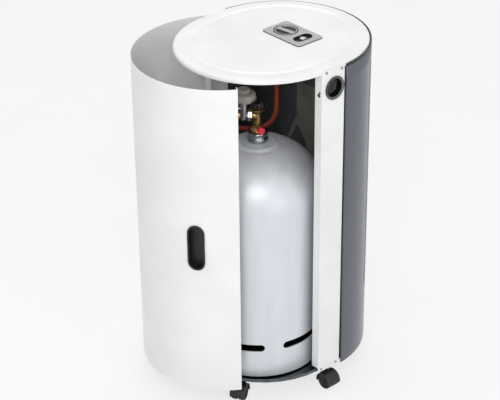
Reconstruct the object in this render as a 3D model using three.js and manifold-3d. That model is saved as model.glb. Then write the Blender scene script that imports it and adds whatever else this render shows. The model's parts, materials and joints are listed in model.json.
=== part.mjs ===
// Portable gas cabinet heater, seen from behind with its rear door ajar.
// Millimetres, +Z up. The origin is the middle of the base tray's underside.
// The heating front faces -Y, the bottle bay and its door face +Y.
import * as THREE from 'three';
import { mergeVertices } from 'three/addons/utils/BufferGeometryUtils.js';
import Module from 'manifold-3d';

const wasm = await Module();
wasm.setup();

// ---------------------------------------------------------------- driving dimensions
const bodyRadius = 200;            // radius of the round front and rear, half the cabinet's width
const flatHalf = 28;               // half length of the straight sides between the two round ends
const cabinetHeight = 790;         // tray underside to lid top
const sheet = 1;                   // sheet steel of door, posts, panel, tray and lid
const gap = 0.3;                   // clearance where two pieces touch

const trayInset = 3.5;               // tray edge behind the cabinet's outer face
const trayLip = 10;                // height of the tray's upstanding edge
const postHalfWidth = 34;          // half width of the latch post's broad face
const postDepth = 21;              // depth of the posts, square to their broad face
const postBottom = -2;             // lower end of the latch post and of the front panel
const hingePostWidth = 52;         // broad face of the hinge post, behind the door
const hingePostInset = 3.5;        // hinge post behind the door's outer face
const postHookCount = 3;           // hooks on each post that carry the front panel
const keyholeDrop = 61;            // lid top to the door catch hole in the latch post
const keyholeRadius = 5;

const panelProud = 4;              // front panel and trim strip outside the lid's edge
const panelGap = 3.5;              // shadow gap between latch post and front panel
const panelReturn = 21;            // inward flange at each upright edge of the front panel
const lidSkirt = 9;                // height of the lid's turned-down edge
const lidEdgeRadius = 6;           // rounded top edge of the lid
const lidGrooveInset = 27;         // lid edge to the shallow pressed groove
const lidGrooveWidth = 20;
const lidGrooveDepth = 3;
const lidCentreDrop = 1;           // flat middle of the lid below its border
const trimHeight = 6;              // black strip between lid and front panel

const doorBottom = -4;
const doorTopDrop = 12;            // lid top to the door's top edge
const doorTop = cabinetHeight - doorTopDrop;
const doorEdgeGap = 2;             // free edge of the closed door to the latch post
const doorReturn = 14;             // inward flange along the door's free edge
const doorRestAngle = 27.4;        // how far the door stands open, degrees
const hingeInset = 6;              // hinge axis inside the door's outer face
const hingePinRadius = 3;
const knuckleRadius = 6;           // round end of the door's hinge tabs

const handleAngle = 149.4;         // place of the door handle around the rear, degrees from +X
const handleHeight = 383;
const handleWidth = 41;
const handleLength = 116;
const handleDepth = 18;
const gripDrop = 51;               // lid top to the round carrying grip in the latch post
const gripOffset = -4;
const gripRadius = 27.2;
const gripFlange = 4;
const gripDepth = 17;

const bulkheadInset = 88;          // partition of bottle bay and burner chamber, behind the front's middle
const bulkheadDrop = 70;           // lid top to the partition's top edge
const bulkheadSheet = 1.2;

const plateCentre = [-12, -52];    // control plate on the lid
const plateLength = 124;
const plateWidth = 77;
const plateThickness = 2.2;
const plateCorner = 9;
const knobCentre = [11, -53];
const knobRadius = 26;
const knobHeight = 4;
const knobTravel = 3;              // the knob is pressed in to light the pilot
const knobProud = 0.5;             // top of the knob above the plate it is sunk in
const knobWell = 26.6;             // radius of the well round the knob
const knobBarWidth = 11;
const knobRestAngle = 8;           // bar of the knob against the plate's long side, degrees
const buttonCentre = [-45, -53];
const buttonRadius = 8;
const buttonTravel = 4;
const recessWidth = 26;
const recessLength = 50;

const bottleCentre = [-12.5, 54.8];
const bayRoom = 50;                // cabinet radius less bottle radius
const bottleFootZ = 5;
const bottleShoulderZ = 440;       // top of the straight wall
const bottleDomeHeight = 118;
const bottleWall = 3;
const footRingTop = 118;
const slotBottom = 76;             // hand slots in the foot ring
const slotTop = 95;
const slotCount = 3;
const slotBridge = 23;             // solid web between two slots, degrees
const slotPhase = 152.5;           // middle of one web, degrees
const neckTop = 572;
const neckRadius = 19;
const neckBore = 15;
const neckRingRadius = 24;
const neckRingTop = 583;
const valveOutletZ = 622;
const drainTurn = 108;             // capped side outlet against the main one, degrees
const drainZ = 594;
const outletTurn = 48.3;             // direction of the valve's outlet, degrees from +X
const handwheelRadius = 17;
const handwheelBottom = 642;
const regulatorReach = 30.5;         // valve axis to regulator axis
const regulatorRadius = 29;
const regulatorBottom = 662;

const hoseRadius = 6;
const hoseSides = 8;

const castorTrail = 18;            // swivel axis to wheel axle
const wheelRadius = 20;
const wheelWidth = 13;
const castorHeight = 55;           // tray underside to floor
const socketDepth = 12;
const stemRadius = 5;
const hoodHalfWidth = 18;
const axleRadius = 2.5;
const castorSideInset = 18;        // side castors behind the cabinet's flat sides
const castorRearInset = 30;        // rear castors inside the round rear
const castorFrontInset = 43;
const castorRearAngle = 59.4;      // rear castors around the round rear, degrees from X

// Burner, its legs and its supply, in the chamber behind the perforated front.
const boxInset = 90;               // burner box half length less than the cabinet's radius
const boxSheet = 1;
const boxTop = 430;
const boxMouth = 135;
const burnerSetback = 40;          // burner in front of the bulkhead
const burnerZ = 118;
const burnerRadius = 14;
const burnerWall = 1.2;
const portCount = 8;
const portPitch = 24;
const pilotReach = 19;             // pilot in front of the burner
const pilotInset = 40;             // pilot to the burner box's end
const pilotSpread = 13;            // pilot jet to probe and to electrode

// ---------------------------------------------------------------- finishes
const finish = (color, roughness, metalness) => new THREE.MeshStandardMaterial({ color, roughness, metalness });
const whiteEnamel = finish(0xf4f4f2, 0.35, 0);
const anthracite = finish(0x4c4e58, 0.4, 0.2);
const galvanised = finish(0xa9adb2, 0.35, 0.9);
const darkSheet = finish(0x2b2c2d, 0.6, 0.2);
const blackPlastic = finish(0x141416, 0.5, 0);
const greyPlastic = finish(0x77777b, 0.5, 0);
const brushedPlate = finish(0xb0aeb0, 0.35, 0.9);
const brass = finish(0xa8823c, 0.35, 0.9);
const copper = finish(0xb26a45, 0.35, 0.9);
const chrome = finish(0xd4d6d8, 0.15, 1);
const bottlePaint = finish(0xc9ccd2, 0.4, 0.3);
const regulatorGrey = finish(0xb9b7ab, 0.5, 0.2);
const redPlastic = finish(0xc81f2c, 0.4, 0);
const orangeRubber = finish(0x8c2f1c, 0.6, 0);
const ceramic = finish(0xe9e4d8, 0.4, 0);
const blackRubber = finish(0x1a1a1c, 0.7, 0);
const heatSteel = finish(0x8d8f92, 0.45, 0.8);

// ---------------------------------------------------------------- solid helpers
const degrees = THREE.MathUtils.degToRad;

function solid(geometry) {
  const bare = geometry.index ? geometry.toNonIndexed() : geometry.clone();
  bare.deleteAttribute('normal');
  if (bare.getAttribute('uv')) {
    bare.deleteAttribute('uv');
  }
  const merged = mergeVertices(bare, 1e-4);
  return new wasm.Manifold(new wasm.Mesh({
    numProp: 3,
    vertProperties: new Float32Array(merged.getAttribute('position').array),
    triVerts: new Uint32Array(merged.index.array),
  }));
}

function shell(manifold) {
  const data = manifold.getMesh();
  const geometry = new THREE.BufferGeometry();
  geometry.setAttribute('position', new THREE.BufferAttribute(new Float32Array(data.vertProperties), 3));
  geometry.setIndex(new THREE.BufferAttribute(new Uint32Array(data.triVerts), 1));
  geometry.computeVertexNormals();
  return geometry;
}

function box(x0, x1, y0, y1, z0, z1) {
  const geometry = new THREE.BoxGeometry(1, 1, 1);
  const corners = geometry.getAttribute('position');
  const pick = (side, low, high) => (side < 0 ? low : high);
  for (let i = 0; i < corners.count; i += 1) {
    const [x, y, z] = [corners.getX(i), corners.getY(i), corners.getZ(i)];
    corners.setXYZ(i, pick(x, x0, x1), pick(y, y0, y1), pick(z, z0, z1));
  }
  return solid(geometry);
}

// A body turned about the Z axis from points [radius, z] that start and end on the axis.
function turnedGeometry(points, sides = 32) {
  const geometry = new THREE.LatheGeometry(points.map(([r, z]) => new THREE.Vector2(r, z)), sides);
  geometry.rotateX(Math.PI / 2);
  return geometry;
}

const turned = (points, sides) => solid(turnedGeometry(points, sides));

const rod = (radius, z0, z1, sides = 16) => turned([[0, z0], [radius, z0], [radius, z1], [0, z1]], sides);

function moved(manifold, x, y, z = 0) {
  return manifold.translate([x, y, z]);
}

// A rod that lies along the direction `turn` (degrees from +X), from reach0 to reach1.
function sideRod(radius, reach0, reach1, turn, sides = 16) {
  return rod(radius, reach0, reach1, sides).rotate([0, 90, 0]).rotate([0, 0, turn]);
}

function extruded(points, z0, z1, holes = []) {
  const shape = new THREE.Shape(points.map(([x, y]) => new THREE.Vector2(x, y)));
  for (const hole of holes) {
    shape.holes.push(new THREE.Path(hole.map(([x, y]) => new THREE.Vector2(x, y))));
  }
  const geometry = new THREE.ExtrudeGeometry(shape, { depth: z1 - z0, bevelEnabled: false });
  geometry.translate(0, 0, z0);
  return solid(geometry);
}

function arc(cx, cy, radius, from, to, steps) {
  const points = [];
  for (let i = 0; i <= steps; i += 1) {
    const a = degrees(from + (to - from) * i / steps);
    points.push([cx + radius * Math.cos(a), cy + radius * Math.sin(a)]);
  }
  return points;
}

// Two half circles joined by straight sides: along Y for the cabinet, `half` to each side.
function stadium(radius, half, steps = 32) {
  return [...arc(0, half, radius, 0, 180, steps), ...arc(0, -half, radius, 180, 360, steps)];
}

// A closed body through a stack of outlines of equal point count, capped at both ends.
function stacked(rings) {
  const count = rings[0].points.length;
  const positions = [];
  const faces = [];
  for (const { points, z } of rings) {
    for (const [x, y] of points) {
      positions.push(x, y, z);
    }
  }
  for (let k = 0; k + 1 < rings.length; k += 1) {
    for (let i = 0; i < count; i += 1) {
      const a = k * count + i;
      const b = k * count + (i + 1) % count;
      faces.push(a, b, b + count, a, b + count, a + count);
    }
  }
  const flat = rings[0].points.map(([x, y]) => new THREE.Vector2(x, y));
  const top = (rings.length - 1) * count;
  for (const [a, b, c] of THREE.ShapeUtils.triangulateShape(flat, [])) {
    faces.push(c, b, a);
    faces.push(top + a, top + b, top + c);
  }
  const geometry = new THREE.BufferGeometry();
  geometry.setAttribute('position', new THREE.Float32BufferAttribute(positions, 3));
  geometry.setIndex(faces);
  return solid(geometry);
}

function tube(route, radius, sides, steps) {
  const section = new THREE.Shape();
  section.absarc(0, 0, radius, 0, 2 * Math.PI, false);
  const path = new THREE.CatmullRomCurve3(route.map(([x, y, z]) => new THREE.Vector3(x, y, z)), false, 'centripetal');
  return solid(new THREE.ExtrudeGeometry(section, {
    steps, curveSegments: sides / 2, extrudePath: path, bevelEnabled: false,
  }));
}

function piece(name, body, material) {
  const mesh = new THREE.Mesh(body instanceof THREE.BufferGeometry ? body : shell(body), material);
  mesh.name = name;
  return mesh;
}

// ---------------------------------------------------------------- derived places
const bottleRadius = bodyRadius - bayRoom;
const bulkheadY = bulkheadInset - bodyRadius;
const bulkheadTop = cabinetHeight - bulkheadDrop;
const bulkheadLatchX = bodyRadius - postDepth + 2;      // the wings run from the posts in to bulkheadFront
const bulkheadHingeX = bodyRadius - hingePostInset - postDepth + 2.5;
const bulkheadFront = Math.sqrt((bodyRadius - 6) ** 2 - (flatHalf + bulkheadY) ** 2) - 2;
const keyholeHeight = cabinetHeight - keyholeDrop;
const gripHeight = cabinetHeight - gripDrop;
const boxHalf = bodyRadius - boxInset;
const burnerY = bulkheadY - burnerSetback;
const injectorTip = boxHalf - 10;
const injectorEnd = boxHalf + 14;
const pilotY = burnerY - pilotReach;
const pilotX = pilotInset - boxHalf;
const probeX = pilotX - pilotSpread;
const electrodeX = pilotX + pilotSpread;
const pilotTop = burnerZ - burnerRadius - gap;
const castorRing = bodyRadius - castorRearInset;
const castorRearX = castorRing * Math.cos(degrees(castorRearAngle));
const castorRearY = flatHalf + castorRing * Math.sin(degrees(castorRearAngle));
const castorPlaces = [
  { x: castorSideInset - bodyRadius, y: 0, turn: 180 },
  { x: -castorRearX, y: castorRearY, turn: 120 },
  { x: castorRearX, y: castorRearY, turn: 60 },
  { x: bodyRadius - castorSideInset, y: 0, turn: 0 },
  { x: 0, y: castorFrontInset - bodyRadius - flatHalf, turn: 270 },
];
const floorTop = sheet;                                     // inside of the tray
const lidUnder = cabinetHeight - lidCentreDrop - sheet;     // underside of the lid's middle
const lidSeat = cabinetHeight - sheet;                      // underside of the lid's border
const lidTop = cabinetHeight - lidCentreDrop;               // top of the lid's middle
const postTop = lidUnder - gap;
const panelEdgeY = -(postHalfWidth + panelGap);
const hingeX = bodyRadius - hingeInset;
const hingeY = -postHalfWidth + hingeInset;
const plateTop = lidTop + gap + plateThickness;
const outletDir = new THREE.Vector2(Math.cos(degrees(outletTurn)), Math.sin(degrees(outletTurn)));

// ---------------------------------------------------------------- cabinet
function baseTray() {
  const steps = 18;
  const outer = bodyRadius - trayInset;
  const fold = 2;
  let body = stacked([
    { points: stadium(outer - fold, flatHalf, steps), z: 0 },
    { points: stadium(outer, flatHalf, steps), z: fold },
    { points: stadium(outer, flatHalf, steps), z: trayLip },
    { points: stadium(outer - sheet, flatHalf, steps), z: trayLip },
    { points: stadium(outer - sheet, flatHalf, steps), z: floorTop + fold },
    { points: stadium(outer - sheet - fold, flatHalf, steps), z: floorTop },
  ]);
  const socketRadius = 11;
  const socketWall = 1.5;
  for (const { x, y } of castorPlaces) {
    body = body.add(moved(rod(socketRadius, -socketDepth, floorTop / 2, 12), x, y));
    body = body.subtract(moved(rod(stemRadius + gap, -socketDepth - 1, -socketWall, 12), x, y));
  }
  const notchRadius = 10;
  return body.subtract(moved(rod(notchRadius, -1, trayLip + 1), hingeX, hingeY));
}

// A folded channel, open towards the cabinet's middle, closed by a plate at each end.
function postChannel(face, side, y0, y1, z0, footZ) {
  const inner = face - postDepth;
  const x = (near, far) => (side > 0 ? [far, near] : [-near, -far]);
  const slab = (near, far, ya, yb, za, zb) => box(...x(near, far), ya, yb, za, zb);
  const channel = slab(face, inner, y0, y1, footZ, postTop)
    .subtract(slab(face - sheet, inner - 1, y0 + sheet, y1 - sheet, footZ - 1, postTop + 1));
  const apron = slab(face, face - sheet, y0, y1, z0, footZ + 1);
  const foot = slab(face - sheet / 2, inner, y0 + sheet / 2, y1 - sheet / 2, footZ, footZ + sheet);
  const head = slab(face - lidEdgeRadius - 1, inner, y0 + sheet / 2, y1 - sheet / 2, postTop - 1, lidSeat - gap);
  return channel.add(apron).add(foot).add(head);
}

function panelHooks(post, x0, y) {
  const hookWidth = 6;
  const hookHeight = 8;
  const firstHook = 121;
  const lastHookDrop = 145;
  const pitch = (cabinetHeight - firstHook - lastHookDrop) / (postHookCount - 1);
  for (let i = 0; i < postHookCount; i += 1) {
    const z = firstHook + pitch * i;
    post = post.add(box(x0, x0 + hookWidth, panelEdgeY + gap, y + sheet / 2, z, z + hookHeight));
  }
  return post;
}

function latchPost() {
  let post = postChannel(bodyRadius, -1, -postHalfWidth, postHalfWidth, postBottom, trayLip + gap);
  post = panelHooks(post, -bodyRadius + postDepth / 2, -postHalfWidth);
  const cupHole = gripRadius - gripFlange + gap;
  post = post.subtract(moved(sideRod(cupHole, bodyRadius - 4 * sheet, bodyRadius + 1, 180, 24),
    0, gripOffset, gripHeight));
  const keyX = -(bodyRadius - postDepth / 2 + 1);
  const slotRadius = 3;
  const key = sideRod(keyholeRadius, -2 * sheet, 2 * sheet, 90)
    .add(moved(sideRod(slotRadius, -2 * sheet, 2 * sheet, 90), -3, 0, 7));
  return post.subtract(moved(key, keyX, postHalfWidth - sheet / 2, keyholeHeight));
}

function hingePost() {
  const face = bodyRadius - hingePostInset;
  const post = postChannel(face, 1, postHalfWidth - hingePostWidth, postHalfWidth, trayLip + gap, trayLip + gap);
  return panelHooks(post, bulkheadHingeX + 1, postHalfWidth - hingePostWidth);
}

function lid() {
  const steps = 18;
  const ring = (inset, z) => ({ points: stadium(bodyRadius - inset, flatHalf, steps), z });
  const skirtZ = cabinetHeight - lidSkirt;
  const under = lidUnder;
  const r = lidEdgeRadius;
  const edgeSteps = 2;
  const rings = [
    ring(lidGrooveInset + lidGrooveWidth, under),
    ring(lidGrooveInset + lidGrooveWidth - r, cabinetHeight - lidGrooveDepth - sheet),
    ring(lidGrooveInset + r, cabinetHeight - lidGrooveDepth - sheet),
    ring(lidGrooveInset, lidSeat),
  ];
  for (let i = edgeSteps; i >= 0; i -= 1) {
    const a = degrees(90 * i / edgeSteps);
    rings.push(ring(r - (r - sheet) * Math.cos(a), cabinetHeight - r + (r - sheet) * Math.sin(a)));
  }
  rings.push(ring(sheet, skirtZ));
  rings.push(ring(0, skirtZ));
  for (let i = 0; i <= edgeSteps; i += 1) {
    const a = degrees(90 * i / edgeSteps);
    rings.push(ring(r - r * Math.cos(a), cabinetHeight - r + r * Math.sin(a)));
  }
  rings.push(ring(lidGrooveInset, cabinetHeight));
  rings.push(ring(lidGrooveInset + r, cabinetHeight - lidGrooveDepth));
  rings.push(ring(lidGrooveInset + lidGrooveWidth - r, cabinetHeight - lidGrooveDepth));
  rings.push(ring(lidGrooveInset + lidGrooveWidth, lidTop));
  let body = stacked(rings);
  const reach = 2;
  body = body.subtract(box(-bodyRadius - reach, -bodyRadius + lidEdgeRadius,
    -postHalfWidth - gap, postHalfWidth + gap, skirtZ - 1, lidUnder));
  body = body.subtract(moved(rod(knobWell, lidUnder - 1, lidTop + 1, 32), ...knobCentre));
  const cut = arc(0, (recessLength - recessWidth) / 2, recessWidth / 2 + gap, 0, 180, 12)
    .concat(arc(0, -(recessLength - recessWidth) / 2, recessWidth / 2 + gap, 180, 360, 12));
  return body.subtract(moved(extruded(cut, lidUnder - 1, lidTop + 1), ...buttonCentre));
}

// Outline of a curved sheet on the front arc, with a flange turned in at each end.
function frontPanel() {
  const outer = bodyRadius + panelProud;
  const inner = outer - sheet;
  const end = (radius) => THREE.MathUtils.radToDeg(Math.asin((-panelEdgeY - flatHalf) / radius));
  const steps = 30;
  const edge = bodyRadius - panelReturn + panelProud;
  const outline = [
    [-edge, panelEdgeY],
    ...arc(0, -flatHalf, outer, 180 + end(outer), 360 - end(outer), steps),
    [edge, panelEdgeY],
    [edge, panelEdgeY - sheet],
    ...arc(0, -flatHalf, inner, 360 - end(inner) - 0.4, 180 + end(inner) + 0.4, steps),
    [-edge, panelEdgeY - sheet],
  ];
  const trayRoom = stadium(bodyRadius - trayInset + gap, flatHalf, 18);
  return extruded(outline, postBottom, cabinetHeight - lidSkirt - gap)
    .subtract(extruded(trayRoom, postBottom - 1, trayLip + gap));
}

function topTrimStrip() {
  const outer = bodyRadius + panelProud;
  const inner = bodyRadius + 3 * gap;
  const end = THREE.MathUtils.radToDeg(Math.asin((-panelEdgeY - flatHalf) / outer));
  const steps = 30;
  const outline = [
    ...arc(0, -flatHalf, outer, 180 + end, 360 - end, steps),
    ...arc(0, -flatHalf, inner, 360 - end, 180 + end, steps),
  ];
  const z0 = cabinetHeight - lidSkirt + gap;
  return extruded(outline, z0, z0 + trimHeight);
}

function bulkhead() {
  const a = bulkheadLatchX;
  const b = bulkheadHingeX;
  const f = bulkheadFront;
  const t = bulkheadSheet;
  const y = bulkheadY;
  const bend = -postHalfWidth - gap;
  const hingeEnd = postHalfWidth - hingePostWidth - gap;
  const outline = [
    [-a, bend], [-f, y - t], [f, y - t], [b, bend], [b, hingeEnd],
    [b - t, hingeEnd], [b - t, bend], [f - t, y], [-f + t, y], [-a + t, bend],
  ];
  return extruded(outline, floorTop + gap, bulkheadTop);
}

// Shield on the bulkhead behind the bottle's shoulder, with a window beside its foot.
function heatShield() {
  const foot = bottleShoulderZ - 14;
  const top = foot + 214;
  const outline = [[-60, top], [-60, foot], [92, foot], [41, foot + 115], [36, foot + 119], [36, top]];
  const window = [
    [34, foot + 98], [23, foot + 88], [13, foot + 75], [4, foot + 60],
    [1, foot + 48], [2, foot + 29], [7, foot + 12], [79, foot + 12],
  ];
  const plate = extruded(outline, 0, bulkheadSheet, [window]).rotate([90, 0, 0]);
  return moved(plate, 0, bulkheadY + gap + bulkheadSheet);
}

// ---------------------------------------------------------------- door
const closedArcEnd = 180 - THREE.MathUtils.radToDeg(Math.asin((postHalfWidth + doorEdgeGap - flatHalf) / bodyRadius));

function doorPanel() {
  const outer = bodyRadius;
  const inner = bodyRadius - sheet;
  const steps = 30;
  const endX = (radius) => radius * Math.cos(degrees(closedArcEnd));
  const endY = (radius) => flatHalf + radius * Math.sin(degrees(closedArcEnd));
  const lipEnd = outer - doorReturn;
  const outline = [
    [inner, -postHalfWidth], [outer, -postHalfWidth],
    ...arc(0, flatHalf, outer, 0, closedArcEnd, steps),
    [endX(lipEnd), endY(lipEnd)],
    [endX(lipEnd), endY(lipEnd) + sheet],
    ...arc(0, flatHalf, inner, closedArcEnd - 0.45, 0, steps),
  ];
  let body = extruded(outline, doorBottom, doorTop);
  const tab = (z) => moved(rod(knuckleRadius, z, z + sheet), hingeX, hingeY)
    .add(box(hingeX, inner + sheet / 2, hingeY - hingeInset + gap, hingeY + knuckleRadius, z, z + sheet));
  body = body.add(tab(doorTop - 3 * sheet)).add(tab(0));
  body = body.subtract(moved(rod(hingePinRadius + gap, doorBottom - 1, doorTop + 1), hingeX, hingeY));
  const bracketRoom = [hingeX - 2 * knuckleRadius, outer + 1, -postHalfWidth - 1, hingeY + 2 * knuckleRadius];
  body = body.subtract(box(...bracketRoom, doorBottom - 1, 0));
  const trayRoom = stadium(bodyRadius - trayInset + 2 * gap, flatHalf, 24);
  body = body.subtract(extruded(trayRoom, doorBottom - 1, trayLip + 2 * gap)
    .intersect(box(-bodyRadius, 0, 0, 2 * bodyRadius, doorBottom - 1, trayLip + 2 * gap)));
  return body.subtract(handleFrame(stadiumPlate(handleWidth - 3, handleLength - 4, -5, 5)));
}

// A flat stadium whose long side runs along X, from z0 to z1.
function stadiumPlate(width, length, z0, z1) {
  const half = (length - width) / 2;
  const outline = [...arc(half, 0, width / 2, -90, 90, 10), ...arc(-half, 0, width / 2, 90, 270, 10)];
  return extruded(outline, z0, z1);
}

// From a flat lying frame (long side X, outward Z) to the handle's place on the closed door.
function handleFrame(manifold) {
  const out = new THREE.Vector3(Math.cos(degrees(handleAngle)), Math.sin(degrees(handleAngle)), 0);
  return manifold.rotate([0, 90, 0])
    .rotate([0, 0, handleAngle])
    .translate([out.x * bodyRadius, flatHalf + out.y * bodyRadius, handleHeight]);
}

function doorHandleCup() {
  const flange = 2;
  const wall = 2;
  const cup = stadiumPlate(handleWidth - 4, handleLength - 5, -handleDepth, flange / 2)
    .add(stadiumPlate(handleWidth, handleLength, gap, gap + flange))
    .subtract(stadiumPlate(handleWidth - 4 - 2 * wall, handleLength - 5 - 2 * wall, -handleDepth + wall, flange + 1));
  return handleFrame(cup);
}

// A peg on the free edge's flange that snaps into the keyhole.
function doorCatch() {
  const pegRadius = 2.2;
  const headRadius = 3;
  const peg = -(bodyRadius - postDepth / 2 + 1);
  const start = postHalfWidth + doorEdgeGap + gap - 1;
  const reach = 4;
  const body = sideRod(pegRadius, -reach - sheet, 0, 90).add(sideRod(headRadius, -reach - 2 * sheet, -reach, 90));
  return moved(body, peg, start - gap, keyholeHeight - 0.5);
}

// Plate on the tray or the hinge post with the pin that the door's tab turns on.
function hingeBracketTop() {
  const z0 = doorTop + gap;
  const flangeY = postHalfWidth - hingePostWidth;
  const plate = box(hingeX - 18, hingeX + 3.5, hingeY - 4, flangeY - gap, z0, z0 + sheet);
  const ear = box(hingeX - 18, hingeX - 10, flangeY - gap - sheet, flangeY - gap, z0 - 20, z0 + sheet);
  return plate.add(ear).add(moved(rod(hingePinRadius, z0 - 9, z0 + sheet / 2), hingeX, hingeY));
}

function hingeBracketBottom() {
  const z1 = -gap;
  const plate = box(hingeX - 24, hingeX + 3.5, hingeY - 4, hingeY + 12, z1 - sheet, z1);
  return plate.add(moved(rod(hingePinRadius, z1 - sheet / 2, z1 + 7), hingeX, hingeY));
}

// ---------------------------------------------------------------- grip and controls
function gripCup() {
  const cup = gripRadius - gripFlange;
  const wall = 1.6;
  const flange = 3;
  const lip = 1;
  const body = turned([
    [0, -gripDepth - wall], [cup - 2, -gripDepth - wall], [cup, -gripDepth],
    [cup, gap], [gripRadius - lip, gap], [gripRadius, gap + lip], [gripRadius, flange - lip],
    [gripRadius - lip, flange], [cup, flange], [cup - wall, flange - 1.5],
    [cup - wall, -gripDepth + 4], [cup - wall - 6, -gripDepth], [0, -gripDepth],
  ], 24);
  return body.rotate([0, -90, 0]).translate([-bodyRadius, gripOffset, gripHeight]);
}

function roundedRectangle(length, width, corner) {
  const x = length / 2 - corner;
  const y = width / 2 - corner;
  return [
    ...arc(x, y, corner, 0, 90, 6), ...arc(-x, y, corner, 90, 180, 6),
    ...arc(-x, -y, corner, 180, 270, 6), ...arc(x, -y, corner, 270, 360, 6),
  ];
}

function uprightStadium(width, length) {
  const half = (length - width) / 2;
  return [...arc(0, half, width / 2, 0, 180, 12), ...arc(0, -half, width / 2, 180, 360, 12)];
}

function controlPlate() {
  const z0 = lidTop + gap;
  const [px, py] = plateCentre;
  const body = moved(extruded(roundedRectangle(plateLength, plateWidth, plateCorner), z0, plateTop), px, py);
  return body
    .subtract(moved(rod(knobWell, z0 - 1, plateTop + 1, 32), ...knobCentre))
    .subtract(moved(extruded(uprightStadium(recessWidth + 2 * gap, recessLength + 2 * gap), z0 - 1, plateTop + 1),
      ...buttonCentre));
}

function knobBezel() {
  const width = 2;
  const height = 0.8;
  const z0 = plateTop + gap;
  const body = rod(knobWell + width, z0, z0 + height, 32).subtract(rod(knobWell, z0 - 1, z0 + height + 1, 32));
  return moved(body, ...knobCentre);
}

const knobTrimHeight = 2.4;
const knobBottom = plateTop + knobProud - knobTrimHeight - gap - knobHeight;
const spindleTop = knobBottom + knobHeight - 1.5;

function knobDisc() {
  const z0 = knobBottom;
  const bore = 4 + gap;
  const body = rod(knobRadius - 0.4, z0, z0 + knobHeight, 32)
    .subtract(rod(bore, z0 - 1, spindleTop + gap));
  return moved(body, ...knobCentre);
}

function knobTrim() {
  const z0 = knobBottom + knobHeight + gap;
  const height = knobTrimHeight;
  const rim = 3.6;
  const ring = rod(knobRadius, z0, z0 + height, 32).subtract(rod(knobRadius - rim, z0 - 1, z0 + height + 1, 32));
  const reach = knobRadius - rim / 2;
  const bar = box(-reach, reach, -knobBarWidth / 2, knobBarWidth / 2, z0, z0 + height);
  return moved(ring.add(bar).rotate([0, 0, knobRestAngle]), ...knobCentre);
}

function tapSpindle() {
  return moved(rod(4, gasTapTop - 12, spindleTop), ...knobCentre);
}

const recessSink = 2.6;
const recessUnder = lidUnder - recessSink;

function buttonRecess() {
  const floorZ = recessUnder;
  const wall = 1.5;
  const body = extruded(uprightStadium(recessWidth, recessLength), floorZ, plateTop + 0.8)
    .subtract(extruded(uprightStadium(recessWidth - 2 * wall, recessLength - 2 * wall), floorZ + wall, plateTop + 2))
    .subtract(rod(buttonRadius + gap, floorZ - 1, floorZ + wall + 1, 32));
  return moved(body, ...buttonCentre);
}

const piezoTop = recessUnder - gap;
const piezoBottom = lidUnder - 35.5;
const buttonBottom = piezoTop - 9;

function ignitionButton() {
  const top = plateTop + 0.5;
  const body = turned([
    [0, buttonBottom], [buttonRadius, buttonBottom], [buttonRadius, top - 1.5], [buttonRadius - 1.5, top - 0.4],
    [buttonRadius - 4, top], [0, top],
  ], 32);
  return moved(body, ...buttonCentre);
}

function piezoBody() {
  const outer = 10.5;
  const body = rod(outer, piezoBottom, piezoTop, 32)
    .subtract(rod(buttonRadius + gap, buttonBottom - buttonTravel - 1.5, piezoTop + 1, 32));
  return moved(body, ...buttonCentre);
}

// ---------------------------------------------------------------- gas train under the lid
const gasTapTop = lidUnder - 19.5;
const gasTapBottom = gasTapTop - 30;
const tapInlet = [31.5, -43.7];
const inletEnd = gasTapBottom - 16;
const tapFrontY = -72;

function gasTapBody() {
  const [kx, ky] = knobCentre;
  const block = box(-8, 38, tapFrontY, -34, gasTapBottom, gasTapTop);
  const bush = moved(rod(6.4, gasTapTop - 1, knobBottom - knobTravel - 2 * gap), kx, ky);
  const legNear = knobWell + 3;
  const legFar = legNear + 7;
  const saddle = box(kx - legFar, kx + legFar, ky - 5, ky + 5, gasTapTop - 3, lidUnder - gap)
    .subtract(box(kx - legNear, kx + legNear, ky - 6, ky + 6, gasTapTop, lidUnder));
  const nipple = moved(rod(5.5, inletEnd, gasTapBottom + 1), ...tapInlet);
  return block.add(saddle).add(bush).add(nipple)
    .subtract(moved(rod(4 + gap, gasTapTop - 12 - knobTravel - gap, lidUnder + 1), kx, ky));
}

// Copper supply pipe: over the bulkhead, down beside the burner box and into the injector.
function gasPipe() {
  const pipeRadius = 3;
  const side = boxHalf + 24;
  return tube([
    [11, tapFrontY - gap, lidUnder - 34.5], [11, tapFrontY - 14, lidUnder - 34.5],
    [16, bulkheadY + 8, lidUnder - 37.5], [34, bulkheadY - 10, lidUnder - 45.5],
    [64, bulkheadY - 18, lidUnder - 57.5], [side - 30, burnerY + 16, lidUnder - 75.5],
    [side - 6, burnerY + 12, lidUnder - 103.5], [side, burnerY + 10, lidUnder - 147.5],
    [side, burnerY + 10, 400], [side, burnerY + 10, burnerZ + 72], [side, burnerY + 8, burnerZ + 32],
    [side, burnerY + 5, burnerZ + 14], [side - 1, burnerY + 2, burnerZ + 4],
    [side - 4, burnerY, burnerZ + 0.6], [side - 8, burnerY, burnerZ], [injectorEnd + gap, burnerY, burnerZ],
  ], pipeRadius, 6, 40);
}

function burnerInjector() {
  const jetRadius = 1.2;
  const body = sideRod(6, injectorTip, injectorEnd, 0)
    .subtract(sideRod(jetRadius, injectorTip - 1, injectorEnd - 4, 0, 8));
  return moved(body, 0, burnerY, burnerZ);
}

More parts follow.
